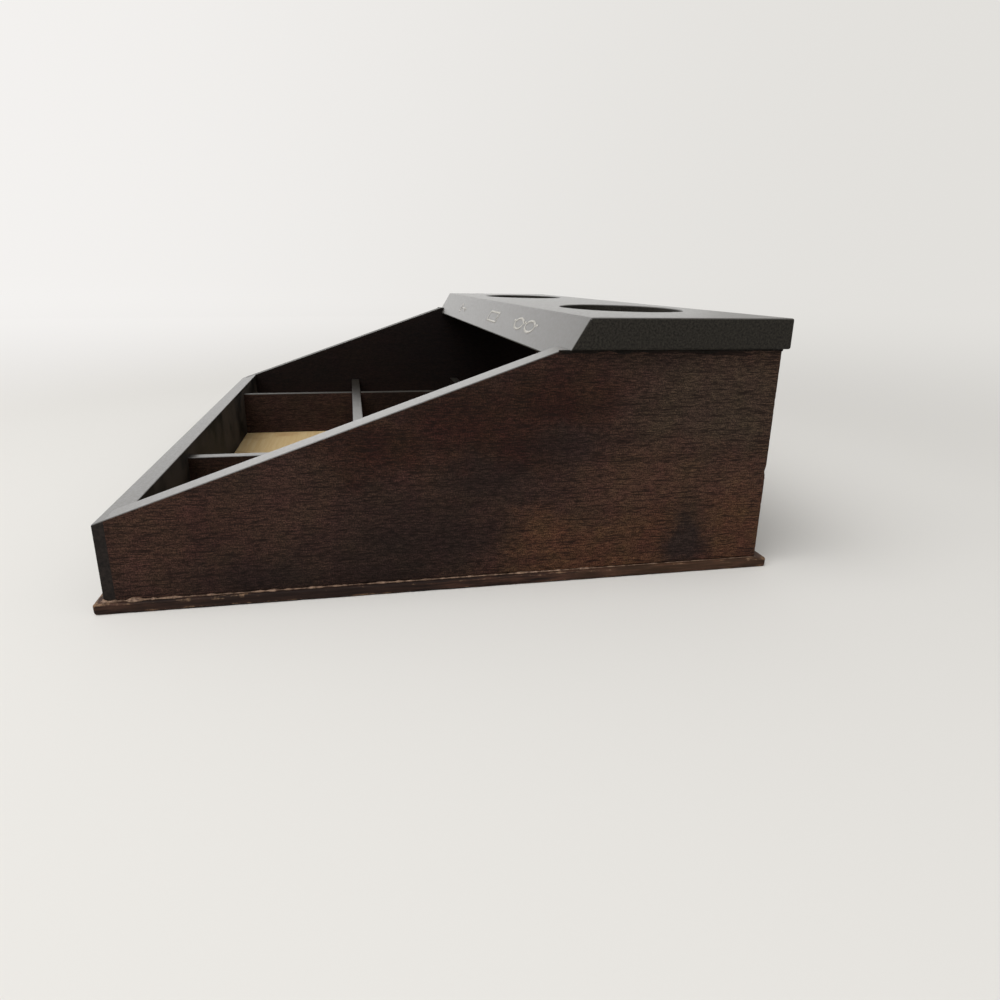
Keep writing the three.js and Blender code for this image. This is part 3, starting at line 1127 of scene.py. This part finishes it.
@dataclass
class FrontRail:
    """Low black front wall, bevelled along the slope; thin laps cover the panels' front ends."""

    faces: TrayFaces
    let_in: dict[str, Lap]
    lap: float = 4.0
    ease_size: float = 0.5
    node: str = "front_rail"

    def build(self) -> None:
        """Model the rail with its laps and let it stand for its node."""
        low, high = NODE_BOXES[self.node]
        shoulder = self.faces.inner_x - TOUCH
        outline = [(low.y, low.z), (high.y, low.z), (high.y, high.z), (low.y, self.faces.slope_z(low.y))]
        bm = prism(outline, -shoulder, shoulder)
        lap_y = low.y + self.lap * MM
        split(bm, Y_AXIS * lap_y, Y_AXIS)
        grow_ends(bm, lambda middle: middle.y < lap_y, high.x)
        free = [
            e for e in sharp_edges(bm)
            if not lies_at(e, Axis.Y, lap_y) and not lies_at(e, Axis.X, shoulder, -shoulder)
        ]
        ease(bm, free, self.ease_size * MM)
        paint_skins(bm, Y_AXIS)
        stand_for(self.node, bm, (RAIL_MATT_PAINT, RAIL_PAINT, THIN_PAINT), self.let_in)


@dataclass
class FlatBoard:
    """Plain rectangular board of the tray: a divider or the back. Millimetres."""

    node: str
    finish: StainedWood
    let_in: dict[str, Lap]
    top_finish: BlackPaint = RUBBED_PAINT
    ease_size: float = 0.4

    def build(self) -> None:
        """Model the board with eased edges and let it stand for its node."""
        bm = bmesh.new()
        add_block(bm, *NODE_BOXES[self.node])
        ease(bm, sharp_edges(bm), self.ease_size * MM)
        paint_skins(bm)
        stand_for(self.node, bm, (self.finish, self.top_finish), self.let_in)


@dataclass
class Shelf:
    """Thick black rear shelf: leaning front, ends on the side panels, two oval holes. Millimetres."""

    faces: TrayFaces
    lean_degrees: float = 31.0
    hole_length: float = 85.0
    hole_width: float = 53.0
    hole_spacing: float = 195.0
    hole_back_margin: float = 10.8
    hole_border: float = 5.0
    hole_cuts_per_side: int = 23
    seat_front: float = 10.0
    ease_size: float = 0.8
    node: str = "top_shelf"

    def hole_centres(self) -> list[Vector]:
        """Find the middles of the two holes, at the height of the shelf's underside.

        Returns:
            The left and the right middle.
        """
        low, high = NODE_BOXES[self.node]
        y = high.y - (self.hole_back_margin + self.hole_width / 2) * MM
        return [Vector((side.value * self.hole_spacing / 2 * MM, y, low.z)) for side in Side]

    def is_seat_front(self, edge: Edge, seat_z: float) -> bool:
        """Say whether an edge is the lower front edge of an end, which stays sharp on the panel."""
        front = self.faces.slope_end_y + self.seat_front * MM
        return lies_at(edge, Axis.Z, seat_z) and max(v.co.y for v in edge.verts) < front

    def split_patches(self, bm: Bm, centre: Vector) -> None:
        """Cut the edges of a rectangular patch round a hole into the board.

        Args:
            bm: shelf board.
            centre: middle of the hole.
        """
        for axis, size in ((X_AXIS, self.hole_length), (Y_AXIS, self.hole_width)):
            reach = (size / 2 + self.hole_border) * MM
            for side in Side:
                split(bm, centre + axis * side.value * reach, axis)

    def open_hole(self, bm: Bm, centre: Vector) -> None:
        """Turn a patch of both faces into an oval opening, and wall it.

        Args:
            bm: shelf board with the patch cut into it.
            centre: middle of the hole.
        """
        low, high = NODE_BOXES[self.node]
        half = Vector((self.hole_length / 2 * MM, self.hole_width / 2 * MM))
        for height, up in ((low.z, -1), (high.z, 1)):
            middle = Vector((centre.x, centre.y, height))
            patch = min(
                (f for f in bm.faces if f.normal.z * up > FACING),
                key=lambda f: (f.calc_center_median() - middle).length,
            )
            border = patch.edges[:]
            bmesh.ops.delete(bm, geom=[patch], context="FACES_ONLY")
            bmesh.ops.subdivide_edges(bm, edges=border, cuts=self.hole_cuts_per_side)
            outer = [e for e in bm.edges if e.is_boundary and abs(e.verts[0].co.z - height) < MM]
            grown = bmesh.ops.extrude_edge_only(bm, edges=outer)["geom"]
            for vert in verts_in(grown):
                offset = vert.co - middle
                turn = math.atan2(offset.y / half.y, offset.x / half.x)
                vert.co = middle + Vector((half.x * math.cos(turn), half.y * math.sin(turn), 0))
        rim = [item for item in grown if isinstance(item, Edge) and item.is_boundary]
        foot = verts_in(bmesh.ops.extrude_edge_only(bm, edges=rim)["geom"])
        bmesh.ops.translate(bm, verts=foot, vec=(0, 0, low.z - high.z))
        bmesh.ops.remove_doubles(bm, verts=bm.verts, dist=SAME_POINT)

    def build(self) -> None:
        """Model the shelf, round its edges and rims and let it stand for its node."""
        low, high = NODE_BOXES[self.node]
        shoulder = self.faces.inner_x - TOUCH
        lean = (high.z - low.z) * math.tan(math.radians(self.lean_degrees))
        outline = [(low.y, low.z), (high.y, low.z), (high.y, high.z), (low.y + lean, high.z)]
        bm = prism(outline, -shoulder, shoulder)
        seat_z = self.faces.wall_top_z + TOUCH
        split(bm, Z_AXIS * seat_z, Z_AXIS)
        grow_ends(bm, lambda middle: middle.z > seat_z, high.x)
        for centre in self.hole_centres():
            self.split_patches(bm, centre)
        for centre in self.hole_centres():
            self.open_hole(bm, centre)
        bmesh.ops.recalc_face_normals(bm, faces=bm.faces)
        free = [
            e for e in sharp_edges(bm)
            if not self.is_seat_front(e, seat_z) and not lies_at(e, Axis.X, shoulder, -shoulder)
        ]
        ease(bm, free, self.ease_size * MM)
        paint_skins(bm)
        stand_for(self.node, bm, (MATT_PAINT, SATIN_PAINT))


@dataclass
class Base:
    """Thin plywood base with a rubbed, slightly ragged rim and a bare floor. Millimetres."""

    faces: TrayFaces
    corner_radius: float = 0.9
    corner_steps: int = 5
    ease_size: float = 0.75
    eased_degrees: float = 60.0
    eased_reach: float = 0.9
    ply_lines: Range = (0.35, 0.65)
    rim_width: float = 2.0
    rim_reach: float = 2.2
    rim_cuts: int = 140
    least_long: float = 100.0
    ragged: float = 0.3
    ragged_pitch: float = 6.0
    ragged_skew: float = 1.7
    ragged_change_per_metre: float = 900.0
    under_wall: float = 4.0
    corner_wear: float = 9.0
    rub_on_corner: float = 1.0
    rub_on_edge: float = 0.78
    rub_on_side: float = 0.4
    node: str = "base_plate"

    def build(self) -> None:
        """Model the plate, roughen its rim and let it stand for its node."""
        bm = bmesh.new()
        add_block(bm, *NODE_BOXES[self.node])
        upright = [e for e in bm.edges if abs(e.verts[0].co.z - e.verts[1].co.z) > MM]
        ease(bm, upright, self.corner_radius * MM, self.corner_steps)
        ease(bm, sharp_edges(bm, self.eased_degrees), self.ease_size * MM)
        self.split_skins(bm)
        self.roughen(bm)
        stand_for(self.node, bm, (STAINED_PLYWOOD, BARE_PLYWOOD, STAIN_CROSS))

    def split_skins(self, bm: Bm) -> None:
        """Part the rim from the floor and the underside, and give each its material index.

        Args:
            bm: plate with eased edges.
        """
        low, high = NODE_BOXES[self.node]
        for share in self.ply_lines:
            split(bm, low + (high - low) * share, Z_AXIS)
        rim = self.rim_width * MM
        under = self.under_wall * MM
        side = self.faces.inner_x + under
        front, back = self.faces.rail_back_y - under, self.faces.back_y - under
        for x in (low.x + rim, high.x - rim, -side, side):
            split(bm, X_AXIS * x, X_AXIS)
        for y in (low.y + rim, high.y - rim, front, back):
            split(bm, Y_AXIS * y, Y_AXIS)
        bm.normal_update()
        for face in bm.faces:
            middle = face.calc_center_median()
            inside = abs(middle.x) < self.faces.inner_x and front < middle.y < back
            skin = BaseSkin.EDGE
            if face.normal.z < -FACING:
                skin = BaseSkin.UNDERSIDE
            elif face.normal.z > FACING and inside:
                skin = BaseSkin.FLOOR
            face.material_index = skin.value

    def rim_distance(self, place: Vector) -> float:
        """Distance of a place from the nearest side of the plate, in metres."""
        _, high = NODE_BOXES[self.node]
        return min(high.x - abs(place.x), high.y - abs(place.y))

    def roughen(self, bm: Bm) -> None:
        """Push the rim in unevenly, and mark the rounded edges as rubbed.

        Args:
            bm: plate with its skins parted.
        """
        low, high = NODE_BOXES[self.node]
        long_edges = [e for e in bm.edges if e.calc_length() > self.least_long * MM]
        reach = self.rim_reach * MM
        rim = [e for e in long_edges if max(self.rim_distance(v.co) for v in e.verts) < reach]
        bmesh.ops.subdivide_edges(bm, edges=rim, cuts=self.rim_cuts, use_grid_fill=True)
        wear = bm.verts.layers.float.new(WEAR_LAYER)
        for vert in (v for v in bm.verts if self.rim_distance(v.co) <= self.rim_width / 2 * MM):
            x, y, z = vert.co
            to_corner = (high.xy - Vector((abs(x), abs(y)))).length
            vert[wear] = self.rub_on_side
            if min(z - low.z, high.z - z) < self.eased_reach * MM:
                vert[wear] = self.rub_on_corner if to_corner < self.corner_wear * MM else self.rub_on_edge
            along = x + y * self.ragged_skew
            loss = max(waver(z * self.ragged_change_per_metre, along, self.ragged_pitch * MM), 0.0)
            dent = loss * self.ragged * MM
            if high.y - abs(y) < high.x - abs(x):
                vert.co.y -= math.copysign(dent, y)
            else:
                vert.co.x -= math.copysign(dent, x)


@dataclass
class SeamBead:
    """Glue or paint that came out of a seam and dried, thick and thin by turns. Millimetres."""

    name: str
    start: Vector
    end: Vector
    outward: Vector
    thickness: tuple[float, float, float]
    seed: float
    rise: Vector = Z_AXIS
    finish: Finish = DRIED_GLUE
    ledge: float = 1.7
    spread: float = 1.25
    pitch: float = 3.2
    step: float = 0.8
    settled_at: float = 0.1
    fading_from: float = 0.7
    lump_mean: float = 0.8
    broad_lumps: float = 0.7
    fine_lumps: float = 0.6
    fine_seed_shift: float = 9.0
    least: float = 0.05
    section_degrees: tuple[float, ...] = (0, 22, 45, 68, 90)

    def radius(self, share: float, place: float) -> float:
        """Size of the bead at a share of its length, in metres.

        Args:
            share: 0 at the start and 1 at the end.
            place: distance from the start, in metres.

        Returns:
            The radius.
        """
        first, middle, last = self.thickness
        size = first + (middle - first) * min(share / self.settled_at, 1.0)
        if share > self.fading_from:
            size += (last - middle) * (share - self.fading_from) / (1.0 - self.fading_from)
        broad = waver(self.seed, place, self.pitch * MM)
        fine = waver(self.seed + self.fine_seed_shift, place, self.pitch / 2 * MM)
        lumps = self.lump_mean + self.broad_lumps * broad + self.fine_lumps * fine
        return max(size * lumps, self.least) * MM

    def build(self) -> None:
        """Extrude a quarter-round section along the seam, ring by ring, and let it ride along."""
        run = self.end - self.start
        count = int(run.length / (self.step * MM))
        angles = [math.radians(degrees) for degrees in self.section_degrees]
        section = [Vector((0, 0)), *(Vector((math.cos(a), math.sin(a))) for a in angles)]
        bm = bmesh.new()
        face = bm.faces.new([bm.verts.new(self.start) for _ in section])
        for index in range(count + 1):
            share = index / count
            size = self.radius(share, run.length * share)
            if index:
                grown = bmesh.ops.extrude_face_region(bm, geom=[face])["geom"]
                face = next(item for item in grown if isinstance(item, bmesh.types.BMFace))
            for vert, corner in zip(face.verts, section):
                width = min(corner.x * size * self.spread, self.ledge * MM)
                height = corner.y * size / self.spread
                vert.co = self.start + run * share + self.outward * width + self.rise * height
        bmesh.ops.recalc_face_normals(bm, faces=bm.faces)
        ride_along(finished(self.name, bm, (self.finish,)))


@dataclass
class ShelfMarks:
    """Three plain printed pictures on the shelf's leaning front: a key, a phone and glasses.

    They show what the tray takes. Sizes in millimetres.
    """

    shelf: Shelf
    key_x: float = -77.0
    phone_x: float = 29.5
    glasses_x: float = 102.5
    height: float = 6.6
    stroke: float = 1.2
    ink_thickness: float = 0.06
    ink_gap: float = 0.01
    ring_steps: int = 40
    lens_half: float = 8.5
    lens_gap: float = 4.0
    temple: float = 3.0
    bridge_height: float = 1.2
    phone_length: float = 26.0
    phone_corner: float = 1.8
    corner_steps: int = 5
    button_inset: float = 3.2
    key_shaft: float = 20.0
    tooth_insets: Range = (0.35, 3.35)
    tooth_length: float = 1.7
    tooth_y: float = -1.3

    def hollow(self, bm: Bm, faces: list[bmesh.types.BMFace]) -> None:
        """Leave one stroke's width along the rim of some faces."""
        bmesh.ops.inset_region(
            bm, faces=faces, thickness=self.stroke, use_even_offset=True, use_boundary=True
        )
        bmesh.ops.delete(bm, geom=faces, context="FACES_ONLY")

    def ring(self, bm: Bm, x: float, half_x: float) -> None:
        """Add an oval outline as tall as the marks.

        Args:
            bm: drawing to add to.
            x: middle of the oval.
            half_x: half of its width.
        """
        shape = Matrix.Translation((x, 0, 0)) @ Matrix.Diagonal((half_x, self.height / 2, 1, 1))
        steps = self.ring_steps
        disc = bmesh.ops.create_circle(bm, segments=steps, radius=1.0, cap_ends=True, matrix=shape)
        self.hollow(bm, list(disc["verts"][0].link_faces))

    def bar(self, bm: Bm, x: float, y: float, width: float, height: float) -> list[bmesh.types.BMVert]:
        """Add a filled bar and give its corners."""
        shape = Matrix.Translation((x, y, 0)) @ Matrix.Diagonal((width / 2, height / 2, 1, 1))
        return bmesh.ops.create_grid(bm, x_segments=1, y_segments=1, size=1.0, matrix=shape)["verts"]

    def glasses(self, bm: Bm) -> None:
        """Draw two lenses, a bridge and two temple stubs.

        Args:
            bm: drawing to add to.
        """
        lens_x = self.lens_half + self.lens_gap / 2
        temple_x = lens_x + self.lens_half + self.temple / 2
        for side in Side:
            self.ring(bm, side.value * lens_x, self.lens_half)
            self.bar(bm, side.value * temple_x, self.bridge_height, self.temple, self.stroke)
        self.bar(bm, 0.0, self.bridge_height, self.lens_gap, self.stroke)

    def phone(self, bm: Bm) -> None:
        """Draw a lying slab with rounded corners and a button.

        Args:
            bm: drawing to add to.
        """
        corners = self.bar(bm, 0.0, 0.0, self.phone_length, self.height)
        bmesh.ops.bevel(
            bm,
            geom=corners,
            offset=self.phone_corner,
            segments=self.corner_steps,
            profile=0.5,
            affect="VERTICES",
            material=-1,
        )
        self.hollow(bm, bm.faces[:])
        self.bar(bm, self.phone_length / 2 - self.button_inset, 0.0, self.stroke, self.stroke * 2)

    def key(self, bm: Bm) -> None:
        """Draw a ring, a shaft and two teeth.

        Args:
            bm: drawing to add to.
        """
        ring = self.height / 2
        self.ring(bm, -self.key_shaft / 2, ring)
        self.bar(bm, ring / 2, 0.0, self.key_shaft - ring, self.stroke)
        for inset in self.tooth_insets:
            self.bar(bm, self.key_shaft / 2 - inset, self.tooth_y, self.stroke, self.tooth_length)

    def build(self) -> None:
        """Draw each picture flat, lay it on the leaning front and let it ride along."""
        low, high = NODE_BOXES[self.shelf.node]
        lean = math.radians(self.shelf.lean_degrees)
        up = Vector((0, math.sin(lean), math.cos(lean)))
        out = Vector((0, -math.cos(lean), math.sin(lean)))
        turn = Matrix((X_AXIS, up, out)).transposed().to_4x4()
        middle_z = (low.z + high.z) / 2
        middle_y = low.y + (middle_z - low.z) * math.tan(lean)
        drawings = (
            ("key_mark", self.key, self.key_x),
            ("phone_mark", self.phone, self.phone_x),
            ("glasses_mark", self.glasses, self.glasses_x),
        )
        for name, draw, x in drawings:
            bm = bmesh.new()
            draw(bm)
            lifted = verts_in(bmesh.ops.extrude_face_region(bm, geom=bm.faces[:])["geom"])
            bmesh.ops.translate(bm, verts=lifted, vec=Z_AXIS * self.ink_thickness)
            origin = Vector((x * MM, middle_y, middle_z)) + out * self.ink_gap * MM
            bm.transform(Matrix.Translation(origin) @ turn @ Matrix.Scale(MM, 4))
            bmesh.ops.recalc_face_normals(bm, faces=bm.faces)
            ride_along(finished(name, bm, (PRINTED_INK,)))


@dataclass
class Studio:
    """Pale sweep, soft overhead light from the left, and the photograph's camera.

    The camera's place is in millimetres, and the floor and the lamps are in metres.
    """

    camera_place: Vector = Vector((423.0, -36.6, 113.65))
    camera_yaw: float = 12.0066
    camera_pitch: float = 17.7315
    camera_roll: float = 0.9011
    focal_pixels: float = 694.19
    image_pixels: float = 1000.0
    sensor_width: float = 36.0
    near_clip: float = 0.01
    floor_radius: float = 18.0
    floor_steps: int = 64
    floor_roughness: float = 0.95
    fade_start: float = 0.36
    fade_end: float = 4.0
    floor_colour: str = "#e4e2de"
    backdrop_left: str = "#f5f3f1"
    backdrop_right: str = "#e2e0dc"
    backdrop_span: Range = (-0.6, 0.75)
    dome_colour: str = "#fbfaf8"
    dome_strength: float = 0.45
    softbox_place: Vector = Vector((0.6, -0.75, 1.4))
    softbox_size: Range = (1.8, 1.3)
    softbox_power: float = 24.0
    bounce_place: Vector = Vector((-1.6, -0.35, 0.3))
    bounce_size: Range = (3.2, 0.8)
    bounce_power: float = 4.5

    @staticmethod
    def seen_ray(tree: Tree) -> Socket:
        """Find the rays that show a surface: camera, glossy and transmission rays.

        Args:
            tree: node tree to add to.

        Returns:
            Socket that is one for those rays.
        """
        seen = add_node(tree, "LightPath", output="Is Camera Ray")
        path = seen.node
        for name in ("Is Glossy Ray", "Is Transmission Ray"):
            seen = add_node(tree, "Math", {"operation": "MAXIMUM"}, {0: seen, 1: path.outputs[name]})
        return seen

    def backdrop(self, tree: Tree, direction: Socket) -> Socket:
        """Colour of the backdrop, which is brighter towards the light on the left.

        Args:
            tree: node tree to add to.
            direction: unit direction from the object.

        Returns:
            The colour.
        """
        across = add_node(tree, "SeparateXYZ", {}, {0: direction}, "Y")
        smooth = {"interpolation_type": "SMOOTHSTEP", **dict(zip(SPAN, self.backdrop_span))}
        share = add_node(tree, "MapRange", smooth, {"Value": across})
        left, right = linear(self.backdrop_left), linear(self.backdrop_right)
        tints = {"data_type": "RGBA", FIRST: left, SECOND: right}
        return add_node(tree, "Mix", tints, {SHARE: share}, MIXED)

    def lay_floor(self) -> None:
        """Lay a wide pale floor that runs into the backdrop's colour away from the object."""
        bm = bmesh.new()
        bmesh.ops.create_circle(bm, cap_ends=True, segments=self.floor_steps, radius=self.floor_radius)
        floor = finished("floor", bm, ())
        paper = bpy.data.materials.new("pale_paper")
        paper.use_nodes = True
        tree = paper.node_tree
        shader = tree.nodes["Principled BSDF"]
        shader.inputs["Base Color"].default_value = linear(self.floor_colour)
        shader.inputs["Roughness"].default_value = self.floor_roughness
        shader.inputs["Specular IOR Level"].default_value = 0.0
        coords = add_node(tree, "TexCoord", output="Object")
        distance = add_node(tree, "VectorMath", {"operation": "LENGTH"}, {0: coords}, "Value")
        nearness = add_node(tree, "Math", {"operation": "DIVIDE", 0: 1.0}, {1: distance})
        span = dict(zip(SPAN, (1.0 / self.fade_start, 1.0 / self.fade_end)))
        fade = add_node(tree, "MapRange", {"interpolation_type": "SMOOTHSTEP", **span}, {"Value": nearness})
        share = add_node(tree, "Math", {"operation": "MULTIPLY"}, {0: fade, 1: self.seen_ray(tree)})
        direction = add_node(tree, "VectorMath", {"operation": "NORMALIZE"}, {0: coords})
        glow = add_node(tree, "Emission", {}, {"Color": self.backdrop(tree, direction)})
        mixed = add_node(tree, "MixShader", {}, {0: share, 1: shader.outputs[0], 2: glow})
        tree.links.new(mixed, tree.nodes["Material Output"].inputs["Surface"])
        floor.data.materials.append(paper)

    def light(self) -> None:
        """Set the soft dome, the pale background, the softbox and the bounce."""
        world = bpy.data.worlds.new("studio")
        world.use_nodes = True
        tree = world.node_tree
        dome = tree.nodes["Background"]
        dome.inputs["Color"].default_value = linear(self.dome_colour)
        dome.inputs["Strength"].default_value = self.dome_strength
        direction = add_node(tree, "TexCoord", output="Generated")
        backdrop = add_node(tree, "Background", {}, {"Color": self.backdrop(tree, direction)})
        shown = {0: self.seen_ray(tree), 1: dome.outputs[0], 2: backdrop}
        mixed = add_node(tree, "MixShader", {}, shown)
        tree.links.new(mixed, tree.nodes["World Output"].inputs["Surface"])
        bpy.context.scene.world = world
        self.hang_lamp("softbox", self.softbox_place, self.softbox_size, self.softbox_power)
        self.hang_lamp("white_wall_bounce", self.bounce_place, self.bounce_size, self.bounce_power)

    @staticmethod
    def hang_lamp(name: str, place: Vector, size: Range, power: float) -> None:
        """Hang a soft rectangular lamp that looks at the object.

        Args:
            name: lamp name.
            place: middle of the lamp.
            size: width and height.
            power: power in watts.
        """
        light = bpy.data.lights.new(name, "AREA")
        light.shape = "RECTANGLE"
        light.size, light.size_y = size
        light.energy = power
        lamp = bpy.data.objects.new(name, light)
        lamp.location = place
        lamp.rotation_mode = "QUATERNION"
        lamp.rotation_quaternion = (-place).to_track_quat("-Z", "Y")
        lamp.visible_camera = False
        bpy.context.collection.objects.link(lamp)

    def stand_camera(self) -> None:
        """Stand the camera where the photograph was taken."""
        angles = (self.camera_yaw, self.camera_pitch, self.camera_roll)
        yaw, pitch, roll = (math.radians(angle) for angle in angles)
        level = math.cos(pitch)
        forward = Vector((-math.cos(yaw) * level, math.sin(yaw) * level, -math.sin(pitch)))
        right = Vector((math.sin(yaw), math.cos(yaw), 0.0))
        up = right.cross(forward)
        tilted_right = math.cos(roll) * right + math.sin(roll) * up
        tilted_up = math.cos(roll) * up - math.sin(roll) * right
        lens = bpy.data.cameras.new("camera")
        lens.sensor_width = self.sensor_width
        lens.lens = self.focal_pixels / self.image_pixels * self.sensor_width
        lens.clip_start = self.near_clip
        camera = bpy.data.objects.new("camera", lens)
        turn = Matrix((tilted_right, tilted_up, -forward)).transposed().to_4x4()
        camera.matrix_world = Matrix.Translation(self.camera_place * MM) @ turn
        bpy.context.collection.objects.link(camera)
        bpy.context.scene.camera = camera
        bpy.context.scene.view_settings.view_transform = "Standard"

    def build(self) -> None:
        """Set up floor, light and camera."""
        self.lay_floor()
        self.light()
        self.stand_camera()


def glue_beads(faces: TrayFaces) -> list[SeamBead]:
    """Glue along the foot of the four outer walls.

    Args:
        faces: shared faces of the tray.

    Returns:
        The beads, not yet built.
    """
    right_front, right_back, left_front, left_back = (
        Vector((x, y, faces.floor_z + TOUCH))
        for x in (faces.outer_x + TOUCH, -faces.outer_x - TOUCH)
        for y in (faces.front_y - TOUCH, faces.back_y + TOUCH)
    )
    # Each row: wall, start, end, outward, thickness at start, middle and end, seed of its lumps.
    walls = (
        ("right", right_front, right_back, X_AXIS, (1.7, 0.55, 0.15), 3.0),
        ("left", left_front, left_back, -X_AXIS, (0.5, 0.5, 0.4), 17.0),
        ("front", right_front, left_front, -Y_AXIS, (0.6, 0.45, 0.5), 29.0),
        ("back", right_back, left_back, Y_AXIS, (0.5, 0.5, 0.5), 41.0),
    )
    return [SeamBead(f"{wall}_glue_bead", *row) for wall, *row in walls]


def paint_runs(faces: TrayFaces, overhang: float = 1.4, first_seed: float = 53.0) -> list[SeamBead]:
    """Paint that ran out under the shelf's ends and dried on the panels, thickest at the front.

    Args:
        faces: shared faces of the tray.
        overhang: how far the paint ran out in front of the shelf, in millimetres.
        first_seed: seed that the lumps of both runs are counted from.

    Returns:
        The runs, not yet built.
    """
    top = faces.wall_top_z - TOUCH
    runs = []
    for side in Side:
        x = side.value * (faces.outer_x + TOUCH)
        run = SeamBead(
            f"{side.name.lower()}_paint_run",
            Vector((x, faces.slope_end_y - overhang * MM, top)),
            Vector((x, faces.back_y, top)),
            X_AXIS * side.value,
            thickness=(0.9, 0.8, 0.6),
            seed=first_seed + side.value,
            rise=-Z_AXIS,
            finish=SEAM_PAINT,
            spread=0.7,
            pitch=9.0,
            step=0.5,
        )
        runs.append(run)
    return runs


def main() -> None:
    """Build the studio, then the organizer piece by piece."""
    logging.basicConfig(level=logging.INFO, format="%(name)s: %(message)s")
    Studio().build()
    faces = TrayFaces.from_frame()
    shelf = Shelf(faces)
    rear_ends = {"rear_cross_divider": Lap.WHOLE, "back_panel": Lap.WHOLE}
    cross_ends = {"front_cross_divider": Lap.WHOLE, **rear_ends}
    long_ends = {"left_long_divider": Lap.WHOLE, "right_long_divider": Lap.WHOLE}
    upper_half = {"front_cross_divider": Lap.UPPER_HALF}
    parts = [
        Base(faces),
        SidePanel(Side.LEFT, faces, STAIN_LEFT, WORN_PAINT, cross_ends),
        SidePanel(Side.RIGHT, faces, STAIN_RIGHT, RUBBED_PAINT, rear_ends, chip_depth=0.5),
        FrontRail(faces, long_ends),
        FlatBoard("back_panel", STAIN_CROSS, {}),
        FlatBoard("left_long_divider", STAIN_AND_SHADE_DIVIDER, upper_half, DULL_PAINT),
        FlatBoard("right_long_divider", STAIN_RIGHT_DIVIDER, {"front_cross_divider": Lap.WHOLE}),
        FlatBoard("front_cross_divider", INSIDE_SHADE_CROSS, {"left_long_divider": Lap.LOWER_HALF}),
        FlatBoard("rear_cross_divider", INSIDE_SHADE_CROSS, long_ends),
        shelf,
        ShelfMarks(shelf),
        *glue_beads(faces),
        *paint_runs(faces),
    ]
    for part in parts:
        part.build()
    FASTENERS.dress()


if __name__ == "__main__":
    main()
